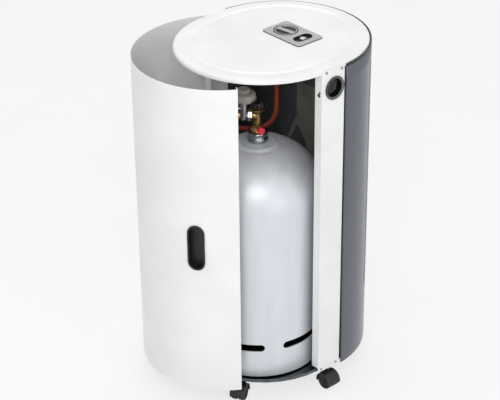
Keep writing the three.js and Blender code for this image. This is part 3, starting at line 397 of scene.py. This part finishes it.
# %% Moulded plastic
def moulded_plastic(name, dark, light, gloss_low, gloss_high, grain_mm=0.8, depth=0.03):
    m = blank_material(name, light)
    colour = two_colours(m, mottle(m, 30, 4), dark, light)
    gloss = between(m, mottle(m, 8, 3), gloss_low, gloss_high)
    grain = relief(m, mottle(m, grain_mm, 1), depth, 0.35)
    return finished(m, {"IOR": 1.49}, {"Base Color": colour, "Roughness": gloss, "Normal": grain})


# %% [markdown]
# ### Brushed plate
# The control plate is aluminium, brushed along its length. Brushing leaves scratches tens of millimetres long
# and a tenth of a millimetre wide; stretched noise draws them at half a millimetre.

# %% Brushed plate
def brushed_plate():
    m = blank_material("brushed_plate", "#AAA8AA")
    scratches = mottle(m, 0.5, 3, stretch=(0.012, 1, 1))
    colour = two_colours(m, scratches, "#9B999B", "#BCBABC", 0.3, 0.7)
    gloss = between(m, scratches, 0.3, 0.44)
    lines = relief(m, scratches, 0.01, 0.3)
    return finished(m, {"Metallic": 0.9}, {"Base Color": colour, "Roughness": gloss, "Normal": lines})


# %% [markdown]
# ### Bright and turned metals
# The knob's ring, the nut and the clamps are nickel plated. The valve is brass, turned on a lathe and slightly
# dulled by handling. The supply pipe is drawn copper. Each keeps the default IOR, and its colour is its reflection.

# %% Turned and plated metal
def worked_metal(name, dark, light, gloss_low, gloss_high, mark_mm=1.2, depth=0.015):
    m = blank_material(name, light)
    marks = mottle(m, mark_mm, 2, stretch=(0.15, 0.15, 1))
    colour = two_colours(m, mottle(m, 9, 4), dark, light)
    gloss = between(m, mottle(m, 5, 4), gloss_low, gloss_high)
    return finished(m, {"Metallic": 1.0}, {"Base Color": colour, "Roughness": gloss,
                                           "Normal": relief(m, marks, depth, 0.3)})


# %% [markdown]
# ### Bottle paint
# The bottle is shot-blasted and sprayed silver grey. The paint is thin, so the sheet's faint waves show through,
# and years of carrying leave soft upright scuffs.

# %% Bottle paint
def bottle_paint():
    m = blank_material("bottle_paint", "#CDD1D7")
    scuffs = mottle(m, 26, 5, stretch=(1, 1, 0.16))
    colour = two_colours(m, scuffs, "#D6D9DE", "#DEE0E5", 0.3, 0.7)
    gloss = between(m, scuffs, 0.4, 0.46)
    waves = relief(m, mottle(m, 60, 2), 0.05, 0.15)
    peel = relief(m, mottle(m, 1.3, 2), 0.02, 0.3, under=waves)
    return finished(m, {"Metallic": 0.25, "IOR": 1.5}, {"Base Color": colour, "Roughness": gloss, "Normal": peel})


# %% [markdown]
# ### Rubber
# Extruded gas hose has faint lines along it and a dull bloom. The wheels' tread is darker and more matt.

# %% Rubber
def extruded_rubber(name, dark, light, gloss_low, gloss_high):
    m = blank_material(name, light)
    colour = two_colours(m, mottle(m, 22, 4), dark, light)
    gloss = between(m, mottle(m, 6, 4), gloss_low, gloss_high)
    lines = relief(m, mottle(m, 0.9, 2), 0.02, 0.3)
    return finished(m, {"IOR": 1.52}, {"Base Color": colour, "Roughness": gloss, "Normal": lines})


# %% [markdown]
# ### One finish for each slot
# The record names a slot for each finish. The dictionary keeps the same names, so a piece asks for its slot.

# %% The finishes by slot
finishes = {
    "white_enamel": white_enamel("white_enamel"),
    "anthracite_enamel": anthracite_enamel(),
    "galvanised_steel": galvanised_steel(),
    "dark_inner_sheet": dark_inner_sheet(),
    "black_plastic": moulded_plastic("black_plastic", "#0D0D0F", "#19191B", 0.36, 0.5),
    "grey_plastic": moulded_plastic("grey_plastic", "#57585D", "#66676D", 0.34, 0.46),
    "brushed_plate": brushed_plate(),
    "silver_trim": worked_metal("silver_trim", "#9B9C9F", "#B2B3B6", 0.3, 0.4),
    "brass": worked_metal("brass", "#7A613A", "#AA8C5A", 0.26, 0.42),
    "copper": worked_metal("copper", "#8E5335", "#BC7751", 0.25, 0.42),
    "heat_resistant_steel": worked_metal("heat_resistant_steel", "#76767A", "#A39E97", 0.35, 0.5),
    "ceramic": moulded_plastic("ceramic", "#E2DDD0", "#F0ECE2", 0.15, 0.25, 1.5, 0.01),
    "lead_sheath": extruded_rubber("lead_sheath", "#101012", "#1C1C1F", 0.5, 0.62),
    "bottle_paint": bottle_paint(),
    "red_plastic": moulded_plastic("red_plastic", "#B3121F", "#DB2A3A", 0.24, 0.34),
    "regulator_casting": moulded_plastic("regulator_casting", "#8F8C80", "#ABA89B", 0.34, 0.46, 1.0, 0.05),
    "hose_rubber": extruded_rubber("hose_rubber", "#842A18", "#A23820", 0.45, 0.6),
    "castor_plastic": moulded_plastic("castor_plastic", "#121215", "#1F1F23", 0.38, 0.5),
    "wheel_rubber": extruded_rubber("wheel_rubber", "#0E0E10", "#1B1B1D", 0.6, 0.75),
}
slot_of = {row["node"]: row["material_slot"] for row in frame["record"]["subparts"]}
print(len(finishes), "finishes for", len(slot_of), "nodes")
hose.data.materials.append(finishes["hose_rubber"])

# %% [markdown]
# ## The CAD pieces that stay
# A pressed or moulded edge is never knife sharp. The corners of the solid are welded, each sharp edge gets a
# small round of its real radius, and weighted normals keep the broad faces flat. The solid itself isn't touched.

# %% Rounded edges on the solids
edge_radius_mm = {
    "white_enamel": 0.35, "galvanised_steel": 0.3, "black_plastic": 0.5, "castor_plastic": 0.8,
    "wheel_rubber": 0.8, "brushed_plate": 0.4, "brass": 0.4, "silver_trim": 0.4, "grey_plastic": 0.5,
}
own_finish_and_painted_shade = {
    "heat_shield": dark_inner_sheet("shield_sheet", "#63635D", "#73736C"),
    # The tray's galvanised finish is darkened: painted shade, for the dark reflection of the shaded bay in its floor.
    "base_tray": galvanised_steel("tray_sheet_painted_shade", "#50555A", "#666B70"),
}
for node, piece in frame["nodes"].items():
    slot = slot_of[node]
    piece.data.materials.clear()
    piece.data.materials.append(own_finish_and_painted_shade.get(node, finishes[slot]))
    piece.data.polygons.foreach_set("use_smooth", [True] * len(piece.data.polygons))
    weld = piece.modifiers.new("weld", "WELD")
    weld.merge_threshold = 1e-6
    rounding = piece.modifiers.new("rounding", "BEVEL")
    rounding.width = edge_radius_mm.get(slot, 0.25) * MM
    rounding.segments = 2
    rounding.limit_method = "ANGLE"
    rounding.angle_limit = math.radians(32)
    rounding.harden_normals = False
    flatness = piece.modifiers.new("flatness", "WEIGHTED_NORMAL")
    flatness.keep_sharp = True
print("dressed", len(frame["nodes"]), "solids")

# %% [markdown]
# A finer piece takes the place of its solid, on the same body and with the same finish.

# %% Putting a finer piece in place
def fit(piece, body, nodes=(), finish=None):
    if finish:
        piece.data.materials.clear()
        piece.data.materials.append(finishes[finish])
    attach(piece, body)
    if nodes:
        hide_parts(*nodes)
    print(piece.name, len(piece.data.polygons), "faces")
    return piece


# %% [markdown]
# ## The lid
# One deep-drawn pressing: a rounded edge, a flat border, a shallow groove and a flat middle.
# Outlines stacked at the pressing's own heights give the soft slopes of the groove, which catch the light.

# %% Lid
def eased(t):
    return (1 - math.cos(math.pi * t)) / 2


def lid_section():
    edge, groove, slope, depth = 6, 27, 11, 3
    top = [(0, 781)]
    for i in range(9):
        a = math.pi / 2 * i / 8
        top.append((edge - edge * math.cos(a), CABINET_HEIGHT - edge + edge * math.sin(a)))
    top.append((groove - 3, CABINET_HEIGHT))
    top += [(groove - 3 + slope * i / 8, CABINET_HEIGHT - depth * eased(i / 8)) for i in range(1, 9)]
    top += [(groove + slope + slope * i / 8, 787 + (LID_TOP - 787) * eased(i / 8)) for i in range(1, 9)]
    return top


lid_upper = lid_section()
lid_lower = [(inset + (SHEET if z < 784 else 0.4), z - SHEET) for inset, z in lid_upper if z > 781]
lid_lower = [(max(inset, SHEET), z) for inset, z in lid_lower]
lid_rings = [(cabinet_outline(inset), z) for inset, z in lid_lower[::-1]]
lid_rings += [(cabinet_outline(SHEET), 781)] + [(cabinet_outline(inset), z) for inset, z in lid_upper]
lid = make_piece("lid_pressing", *stacked(lid_rings))


def recess_outline(grow):
    loop = arc(0, 12, 13 + grow, 0, 180, 16) + arc(0, -12, 13 + grow, 180, 360, 16)
    return [(x + BUTTON_X, y + BUTTON_Y) for x, y in loop]


cut(
    lid,
    block(-203, -194, -34.3, 34.3, 780, 787.75),
    placed(turned([(0, 780), (26.6, 780), (26.6, 792), (0, 792)]), KNOB_X, KNOB_Y),
    stacked([(recess_outline(0.3), 780), (recess_outline(0.3), 792)]),
)
fit(lid, "cabinet", ["lid"], "white_enamel")

# %% [markdown]
# ## The perforated front
# The heating front is one curved sheet. Staggered holes of about 4 mm at 5.7 mm pitch let the heat out.
# Each hole gets its own small cell of the sheet, six corners outside and six inside, and cells share corners,
# so the whole front stays one closed sheet once a solidify modifier gives it its thickness.

# %% The line that the sheet follows
PANEL_RADIUS = 204
HOLE_ROWS, HOLE_COLUMNS = 121, 71
HOLE_LOW, HOLE_HIGH = 150, 745
HOLE_RADIUS = 2.0
field_half_angle = 56.5


def front_point(angle):
    a = math.radians(270 + angle)
    return (PANEL_RADIUS * math.cos(a), -FLAT_HALF + PANEL_RADIUS * math.sin(a))


end_angle = 90 - math.degrees(math.asin(9.5 / PANEL_RADIUS))
side_angles = [-end_angle + (end_angle - field_half_angle) * i / 12 for i in range(12)]
field_angles = [field_half_angle * (i / HOLE_COLUMNS - 1) for i in range(2 * HOLE_COLUMNS + 1)]
front_line = [(-183, -37.5), (-201.4, -37.5), (-203.2, -38)]
front_line += [front_point(a) for a in [-end_angle + 0.5] + side_angles[1:]]
field_start = len(front_line)
front_line += [front_point(a) for a in field_angles]
field_end = len(front_line) - 1
front_line += [(-x, y) for x, y in front_line[:field_start][::-1]]
front_levels = [-2, 10.3] + [HOLE_LOW + (HOLE_HIGH - HOLE_LOW) * i / HOLE_ROWS for i in range(HOLE_ROWS + 1)] + [780.7]
print("front line", len(front_line), "points, levels", len(front_levels))


# %% The sheet and its holes
def perforated_front():
    wide = len(front_line)
    corners = [(x, y, z) for z in front_levels for x, y in front_line]
    faces = []
    for k in range(len(front_levels) - 1):
        for i in range(wide - 1):
            a = k * wide + i
            in_field = 2 <= k < len(front_levels) - 2 and field_start <= i < field_end
            if in_field or (k == 0 and (i < 1 or i > wide - 3)):
                continue
            faces.append([a, a + 1, a + wide + 1, a + wide])
    height = front_levels[3] - front_levels[2]
    for row in range(HOLE_ROWS):
        low = (row + 2) * wide + field_start
        first = row % 2
        if first:
            for i in (0, 2 * HOLE_COLUMNS - 1):
                faces.append([low + i, low + i + 1, low + i + 1 + wide, low + i + wide])
        for column in range(HOLE_COLUMNS - first):
            i = 2 * column + first
            outer = [low + i, low + i + 1, low + i + 2, low + i + 2 + wide, low + i + 1 + wide, low + i + wide]
            middle = front_levels[row + 2] + height / 2
            inner = []
            for turn in (210, 270, 330, 30, 90, 150):
                a = math.radians(turn)
                shift = math.degrees(HOLE_RADIUS * math.cos(a) / PANEL_RADIUS)
                x, y = front_point(field_angles[i + 1] + shift)
                inner.append(len(corners))
                corners.append((x, y, middle + HOLE_RADIUS * math.sin(a)))
            for n in range(6):
                m = (n + 1) % 6
                faces.append([outer[n], outer[m], inner[m], inner[n]])
    return corners, faces


front = make_piece("perforated_front", *perforated_front(), crisp=40)
thickness = front.modifiers.new("thickness", "SOLIDIFY")
thickness.thickness = SHEET * MM
thickness.offset = -1
thickness.use_even_offset = True
fit(front, "cabinet", ["front_panel"], "anthracite_enamel")

# %% [markdown]
# ## Screws
# The posts are held to the lid and to the tray by pan-head screws with a cross recess. Each is a turned dome
# with a cross cut into it, and small as they are, they show on the flat white post.

# %% Pan-head screws
def pan_head(radius=3.4, height=1.7):
    dome = [(0, -0.2), (radius, -0.2), (radius, 0.35)]
    dome += [(radius * 0.86, height * 0.72), (radius * 0.5, height), (0, height)]
    return turned(dome, 32)


def cross_cutters(radius=3.4, height=1.7):
    arm = radius * 0.55
    low, high, half = height - 0.9, height + 1, 0.45
    return [block(-arm, arm, -half, half, low, high), block(-half, half, -arm, arm, low, high)]


def screw(name, x, y, z, turn, body="cabinet"):
    piece = make_piece(name, *pan_head())
    cut(piece, *cross_cutters())
    lay = Matrix.Rotation(math.radians(turn), 4, "Z") @ Matrix.Rotation(math.pi / 2, 4, "Y")
    lay = lay @ Matrix.Rotation(0.4, 4, "Z")
    piece.data.transform(Matrix.Translation((x * MM, y * MM, z * MM)) @ lay)
    return fit(piece, body, finish="silver_trim")


latch_screws = [(20.3, 781.5), (-25.2, 779.6), (24.3, 5), (-23.2, 5)]
for number, (y, z) in enumerate(latch_screws, 1):
    screw(f"latch_post_screw_{number}", -200, y, z, 180)
for number, (y, z) in enumerate([(20, 774), (-6, 774), (20, 22), (-6, 22)], 1):
    screw(f"hinge_post_screw_{number}", 196.5, y, z, 0)

# %% [markdown]
# ## The carrying grip
# A round cup of grey plastic snaps into the latch post. Its flange is rounded and its throat is dark and deep.
# It is turned on its own axis and then laid along X.

# %% Carrying grip
GRIP_Y, GRIP_Z = -4, 739


def in_grip(mesh):
    return placed(mesh, -BODY_RADIUS, GRIP_Y, GRIP_Z, 180, lay=True)


grip_profile = [
    (0, -18.6), (21.2, -18.6), (23.2, -16.8), (23.2, 0.3), (26.3, 0.3), (26.9, 0.6), (27.2, 1.2),
    (27.1, 2.1), (26.6, 2.8),
    (25.9, 3), (25.2, 2.8), (24.9, 2.4), (23.8, 2.3), (22.6, 1.4), (21.9, 0), (21.7, -4), (21.6, -16),
    (20.6, -17), (0, -17),
]
grip = make_piece("round_grip", *in_grip(turned(grip_profile)), crisp=50)
fit(grip, "cabinet", ["grip_cup"], "grey_plastic")
lining_profile = [
    (0, -16.8), (20.4, -16.8), (21.4, -15.8), (21.5, -4), (21.8, 0.1), (21.3, 0.1), (21, -4),
    (20.9, -14.6), (19.9, -15.6), (0, -15.6),
]
lining = make_piece("round_grip_lining", *in_grip(turned(lining_profile)), crisp=50)
outer_rim_profile = [
    (25.9, 2.7), (26.5, 2.6), (27, 2.1), (27.1, 1.2), (26.8, 0.7), (27.3, 0.5), (27.5, 1.2), (27.5, 2.3),
    (27, 3), (26.2, 3.1),
]
outer_rim = make_piece("round_grip_rim", *in_grip(turned(outer_rim_profile, 96, ring=True)))
fit(outer_rim, "cabinet", finish="black_plastic")
fit(lining, "cabinet", finish="black_plastic")
# The lining is polished, so that it shows a highlight deep in the grip.
lining.data.materials[0] = moulded_plastic("polished_black_plastic", "#0B0B0D", "#151517", 0.14, 0.2)

# %% [markdown]
# ## The knob
# A black disc with a bright ring, and a bright bar across it that shows where it points. The two black
# half moons between them lie a little lower. The ring and bar are one plated pressing on the turned disc.

# %% Knob
KNOB_LOW = 785.3
disc_profile = [
    (0, 0), (25, 0), (25.6, 0.4), (25.6, 3.6), (25.2, 4), (22.2, 4.1), (21, 3.7), (12, 3.2), (4.5, 3.1),
    (0, 3.1),
]
disc = make_piece("knob_face", *placed(turned(disc_profile), KNOB_X, KNOB_Y, KNOB_LOW), crisp=50)
fit(disc, "knob", ["knob_disc"], "black_plastic")


def knob_ring_and_bar():
    section = [(23, 4.2), (26, 4.2), (26, 6.1), (25.6, 6.6), (25, 6.7), (23.8, 6.7), (23.3, 6.5), (23, 6)]
    ring = turned(section, 96, ring=True)
    bar = []
    for half, z in [(5.5, 3.2), (5.5, 5.8), (5.2, 6.4), (4.6, 6.7)]:
        reach = math.sqrt(23.4 ** 2 - half ** 2)
        swing = math.degrees(math.atan2(half, reach))
        bar.append((arc(0, 0, 23.4, -swing, swing, 4) + arc(0, 0, 23.4, 180 - swing, 180 + swing, 4), z))
    return together(ring, stacked(bar))


ring = make_piece("knob_ring_and_bar", *placed(knob_ring_and_bar(), KNOB_X, KNOB_Y, KNOB_LOW, turn=8), crisp=40)
fit(ring, "knob", ["knob_trim"], "silver_trim")

# %% [markdown]
# The knob is sunk in a well with a black collar. Below the brushed plate lies a black strip, a little larger than the
# plate: painted shadow, which draws the dark shadow gap at the plate's edge.

# %% Collar, plate and the black strip of painted shadow under it
collar_profile = [
    (26.6, 788.2), (28.4, 788.2), (28.6, 791.6), (28.4, 792.1), (27.9, 792.3), (27.1, 792.3), (26.6, 791.9),
]
collar = make_piece("knob_collar", *placed(turned(collar_profile, 96, ring=True), KNOB_X, KNOB_Y), crisp=50)
fit(collar, "cabinet", ["knob_bezel"], "black_plastic")


def plate_outline(grow, corner=9, length=124, width=77):
    x, y, r = length / 2 - corner, width / 2 - corner, corner + grow
    loop = []
    for start, cx, cy in [(0, x, y), (90, -x, y), (180, -x, -y), (270, x, -y)]:
        loop += arc(cx, cy, r, start, start + 90, 12)
    return [(px + PLATE_X, py + PLATE_Y) for px, py in loop]


def plate_piece(name, layers, finish, nodes=()):
    piece = make_piece(name, *stacked([(plate_outline(grow), z) for grow, z in layers]), crisp=40)
    well = turned([(0, 780), (28.5, 780), (28.5, 800), (0, 800)])
    recess = recess_outline(0.2)
    cut(piece, placed(well, KNOB_X, KNOB_Y), stacked([(recess, 780), (recess, 800)]))
    return fit(piece, "cabinet", nodes, finish)


plate_piece("control_face", [(-0.2, 790.6), (0, 790.8), (0, 791.2), (-0.4, 791.5)], "brushed_plate", ["control_plate"])
# A black strip a little larger than the plate: painted shadow for the dark gap along the plate's edge.
plate_piece("plate_edge_painted_shadow", [(0.2, 789.1), (0.5, 789.3), (0.5, 790.3), (0.2, 790.55)], "black_plastic")

# %% [markdown]
# ## The gas bottle
# Two drawn halves welded together, with a pressed ring round the neck and a raised weld bead round the middle.
# One profile from the foot to the neck is spun, and the ring is a step of that profile; the weld bead is not drawn.

# %% Bottle
def bottle_profile():
    outer = [(0, 66)]
    for i in range(1, 17):
        a = math.pi / 2 * i / 16
        outer.append((146.7 * math.sin(a), 118.3 - 52 * math.cos(a)))
    outer += [(150, 118.3), (150, 436)]
    neck = math.acos(19 / 150)
    for i in range(65):
        a = neck * i / 64
        r, z = 150 * math.cos(a), 440 + 118 * math.sin(a)
        z += 2.2 * math.exp(-((r - 41) / 4.2) ** 2) - 1.2 * math.exp(-((r - 50) / 5) ** 2)
        outer.append((r, z))
    return outer + [(19, 572), (15, 572), (15, 556), (0, 556)]


bottle = make_piece("steel_bottle", *placed(turned(bottle_profile(), 144), BOTTLE_X, BOTTLE_Y), crisp=50)
fit(bottle, "cabinet", ["gas_bottle"], "bottle_paint")

# %% [markdown]
# The foot ring is a band of the same sheet, with three long slots that serve as hand holds.
# Their ends are round. The band is turned, and each slot is cut by a curved tool.

# %% Foot ring
def slot_cutter(start, end, low, high):
    half, middle = (high - low) / 2, (low + high) / 2
    give = math.degrees(half / BOTTLE_RADIUS)
    outline = []
    for centre, first in [(end - give, -90), (start + give, 90)]:
        for a in range(first, first + 181, 15):
            t = math.radians(a)
            outline.append((centre + give * math.cos(t), middle + half * math.sin(t)))
    steps = []
    for (a0, z0), (a1, z1) in zip(outline, outline[1:] + outline[:1]):
        parts = max(1, round(abs(a1 - a0) / 2.5))
        steps += [(a0 + (a1 - a0) * i / parts, z0 + (z1 - z0) * i / parts) for i in range(parts)]
    corners = []
    for r in (142, 158):
        for a, z in steps:
            t = math.radians(a)
            corners.append((BOTTLE_X + r * math.cos(t), BOTTLE_Y + r * math.sin(t), z))
    count = len(steps)
    faces = [[i, (i + 1) % count, (i + 1) % count + count, i + count] for i in range(count)]
    # Each end is a strip of quads across the slot, so that it follows the curve.
    order = list(range(count))
    i, j = 0, count - 1
    while i + 1 < j:
        quad = [order[i], order[i + 1], order[j - 1], order[j]]
        quad = [v for k, v in enumerate(quad) if v not in quad[:k]]
        faces.append(quad[::-1])
        faces.append([v + count for v in quad])
        i, j = i + 1, j - 1
    return corners, faces


foot_profile = [(147, 5), (149.2, 5), (150, 5.8), (150, 118.3), (147, 118.3)]
foot = make_piece("bottle_foot_band", *placed(turned(foot_profile, 144, ring=True), BOTTLE_X, BOTTLE_Y), crisp=50)
cut(foot, *[slot_cutter(152.5 + 11.5 + 120 * n - 3, 152.5 + 120 * (n + 1) - 11.5 + 3, 76, 95) for n in range(3)])
fit(foot, "cabinet", ["bottle_foot_ring"], "bottle_paint")

# %% [markdown]
# ## The neck ring and the valve
# The bottle's neck ring is knurled so that the guard can grip it. The valve above it is turned brass, with the
# main outlet towards the regulator and a small side outlet under a red cap.

# %% Neck ring
def knurl(angle, r, z):
    return r - 0.55 * (0.5 + 0.5 * math.cos(28 * angle)) if r > 23.5 and z < 578 else r


neck_profile = [
    (19.3, 559), (22, 559), (24, 561), (24, 568), (22.4, 570), (21.6, 572), (21.8, 577), (23.4, 578.6),
    (24, 579.6),
    (24, 581.6), (23.2, 582.8), (21.5, 583), (19.3, 583),
]
neck_mesh = turned(neck_profile, 168, ring=True, shape=knurl)
neck = make_piece("knurled_neck_ring", *placed(neck_mesh, BOTTLE_X, BOTTLE_Y), crisp=45)
fit(neck, "cabinet", ["neck_ring"], "galvanised_steel")

# %% Valve and its outlets
valve_profile = [
    (0, 556), (14.7, 556), (14.7, 572.3), (17, 572.3), (17, 584), (16, 586.5), (12.4, 590.5), (10.6, 593),
    (9.4, 598), (9, 603),
    (9, 628), (9.8, 632), (12.6, 635.4), (17.4, 637), (18.6, 638), (18.6, 639.8), (17.8, 640.6),
    (12, 641.6), (0, 641.7),
]
main_outlet = [(0, 0), (9, 0), (9, 9), (8.4, 9.6), (8.4, 11.3), (9, 12), (0, 12)]
side_outlet = [(0, 0), (6, 0), (6, 14), (7, 14.6), (7, 18), (6, 18.6), (6, 20), (0, 20)]


def castle(angle, r, z):
    return r - 1.2 * max(0.0, math.cos(8 * angle)) ** 3 if r > 15 and z > 630 else r


valve = make_piece("brass_valve", *together(
    placed(turned(valve_profile, 96, shape=castle), BOTTLE_X, BOTTLE_Y),
    placed(turned(main_outlet, 48), BOTTLE_X, BOTTLE_Y, OUTLET_Z, OUTLET_TURN, lay=True),
    placed(turned(side_outlet, 48), BOTTLE_X, BOTTLE_Y, SIDE_OUTLET_Z, SIDE_OUTLET_TURN, lay=True),
), crisp=40)
fit(valve, "cabinet", ["bottle_valve"], "brass")


def ribbed(angle, r, z):
    return r - 0.5 * (0.5 + 0.5 * math.cos(20 * angle)) if r > 8.7 else r


cap_profile = [(0, 20.3), (8.4, 20.3), (9, 20.9), (9, 28.6), (8.2, 29.7), (7, 30), (5.6, 30), (5, 29.4), (0, 29.2)]
cap_mesh = turned(cap_profile, 120, shape=ribbed)
cap = make_piece(
    "red_outlet_cap",
    *placed(cap_mesh, BOTTLE_X, BOTTLE_Y, SIDE_OUTLET_Z, SIDE_OUTLET_TURN, lay=True), crisp=40,
)
fit(cap, "cabinet", ["outlet_cap"], "red_plastic")


# %% [markdown]
# The handwheel is black plastic with eight flutes for the fingers. The flutes are part of the profile's shape.

# %% Handwheel
def fluted(angle, r, z):
    return r - 2.1 * max(0.0, math.cos(8 * angle)) ** 4 if r > 12 else r


wheel_profile = [
    (0, 631), (2.9, 631), (2.9, 642), (14.5, 642), (16.2, 643), (17, 645), (17, 653), (16.4, 655.4),
    (14.6, 657.4), (12.8, 658),
    (8.5, 658), (7, 657.4), (6, 656), (0, 656),
]
wheel_mesh = turned(wheel_profile, 144, shape=fluted)
handwheel = make_piece("fluted_handwheel", *placed(wheel_mesh, BOTTLE_X, BOTTLE_Y), crisp=45)
fit(handwheel, "handwheel", ["valve_handwheel"], "black_plastic")

# %% [markdown]
# ## The regulator
# Two zinc castings clamped together round a membrane: a funnel-shaped lower half, a bright seam, and a
# domed upper half with a stepped cap. Steps and beads of the profile stand for the castings' edges.

# %% Regulator
lower_profile = [
    (0, 612), (7, 612), (8, 613), (8, 640), (9, 646), (10, 652), (11, 657), (13.4, 660.6), (18, 661.7),
    (26.6, 662), (28.4, 662.6),
    (29, 663.6), (29, 664.9), (28.4, 665.4), (28.4, 665.9), (0, 665.9),
]
upper_profile = [
    (0, 665.9), (28.4, 665.9), (28.9, 666.4), (28.4, 667), (27.4, 667.4), (27, 668.6), (26.8, 674),
    (26.4, 676.4), (25.2, 678.2),
    (23, 679.6), (20, 680), (18.4, 679.4), (16.6, 679.6), (15.6, 680), (0, 680),
]
inlet_profile = [(0, -8.2), (7, -8.2), (7, -2), (6, 0), (0, 0)]
lower = make_piece("regulator_lower_casting", *together(
    placed(turned(lower_profile), REGULATOR_X, REGULATOR_Y),
    placed(turned(inlet_profile, 48), REGULATOR_X, REGULATOR_Y, OUTLET_Z, OUTLET_TURN, lay=True),
), crisp=45)
fit(lower, "cabinet", ["regulator_body"], "silver_trim")


def screw_bosses(angle, r, z):
    return r + 0.6 * max(0.0, math.cos(6 * angle)) ** 6 if 26 < r < 28 and z > 667 else r


upper_mesh = turned(upper_profile, 144, shape=screw_bosses)
upper = make_piece("regulator_upper_casting", *placed(upper_mesh, REGULATOR_X, REGULATOR_Y), crisp=45)
fit(upper, "cabinet", finish="regulator_casting")


def cap_ribs(angle, r, z):
    return r - 0.5 * (0.5 + 0.5 * math.cos(24 * angle)) if r > 13.6 else r


regulator_cap_profile = [
    (0, 680.3), (14, 680.3), (14, 686.6), (13.4, 688), (12.2, 688.7), (9, 688.8), (8, 688.2), (5.4, 688),
    (4.6, 688.6), (0, 688.7),
]
regulator_cap_mesh = turned(regulator_cap_profile, 144, shape=cap_ribs)
regulator_cap = make_piece(
    "regulator_ribbed_cap", *placed(regulator_cap_mesh, REGULATOR_X, REGULATOR_Y), crisp=45,
)
fit(regulator_cap, "cabinet", ["regulator_cap"], "regulator_casting")

# %% [markdown]
# ## The door
# The door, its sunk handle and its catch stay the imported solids. The door's free edge and its top edge are folded
# over, which shows as a thin bright line: the rounding on the solid's edges draws it.

# %% [markdown]
# ## The studio
# A plain pale floor and a plain pale surround. The floor still takes the heater's shadow: the camera sees it
# part lit and part as a plain white card. Large soft lamps stand above, behind the camera and to both sides,
# and the world fills what they leave. Together they give a white surface about the white it is written as.

# %% Floor
def shows_background(owner):
    """1 where the camera looks, directly or by way of metal or glass, and 0 where a surface gathers light."""
    paths = add(owner, "ShaderNodeLightPath")
    direct = {0: paths.outputs["Is Camera Ray"], 1: paths.outputs["Is Glossy Ray"]}
    seen = add(owner, "ShaderNodeMath", links=direct, operation="MAXIMUM")
    through = {0: seen.outputs[0], 1: paths.outputs["Is Transmission Ray"]}
    return add(owner, "ShaderNodeMath", links=through, operation="MAXIMUM").outputs[0]


def studio_floor():
    m = blank_material("studio_floor", "#FFFFFF")
    share = add(m, "ShaderNodeMath", {1: 0.72}, {0: shows_background(m)}, operation="MULTIPLY")
    grain = mottle(m, 300, 2)
    matt = add(m, "ShaderNodeBsdfDiffuse", links={"Color": two_colours(m, grain, "#F4F4F4", "#F8F8F8")})
    card = add(m, "ShaderNodeEmission", {"Color": (1, 1, 1, 1), "Strength": 1.0})
    mix = add(m, "ShaderNodeMixShader", links={0: share.outputs[0], 1: matt.outputs[0], 2: card.outputs[0]})
    add(m, "ShaderNodeOutputMaterial", links={"Surface": mix.outputs[0]})
    return m


FLOOR_REACH = 9000
floor_corners = [(FLOOR_REACH * x, FLOOR_REACH * y, FLOOR_Z) for x, y in [(-1, -1), (1, -1), (1, 1), (-1, 1)]]
floor = make_piece("studio_floor", floor_corners, [[0, 1, 2, 3]])
floor.data.materials.append(studio_floor())

# %% World
world = bpy.data.worlds.new("studio_world")
bpy.context.scene.world = world
world.use_nodes = True
world.node_tree.nodes.clear()
fill = add(world, "ShaderNodeBackground", {"Color": linear("#F6F8FA"), "Strength": 0.63})
white = add(world, "ShaderNodeBackground", {"Color": (1, 1, 1, 1), "Strength": 1.0})
choice = add(world, "ShaderNodeMixShader", links={0: shows_background(world), 1: fill.outputs[0], 2: white.outputs[0]})
add(world, "ShaderNodeOutputWorld", links={"Surface": choice.outputs[0]})


# %% Lamps
def softbox(name, place, target, width, height, power, tint="#FFFFFF"):
    lamp = bpy.data.lights.new(name, "AREA")
    lamp.shape = "RECTANGLE"
    lamp.size, lamp.size_y = width, height
    lamp.energy = power
    lamp.color = linear(tint)[:3]
    box = bpy.data.objects.new(name, lamp)
    box.matrix_world = aimed(Vector(place), Vector(target))
    bpy.context.scene.collection.objects.link(box)
    return box


softbox("back_softbox", (0.9, -0.8, 3.2), (0, 0, 0.7), 1.4, 1.4, 18)
softbox("key_softbox", (-2.3, 2.3, 2.9), (0, 0.1, 0.5), 1.6, 1.6, 50)
softbox("low_softbox", (-3.4, 1.6, 0.7), (0, 0.1, 0.35), 0.9, 1.2, 2)
softbox("side_softbox", (-3.2, 0.3, 0.9), (-0.1, 0, 0.4), 0.9, 2.0, 8)
bpy.context.scene.view_settings.view_transform = "Standard"
print("studio ready")
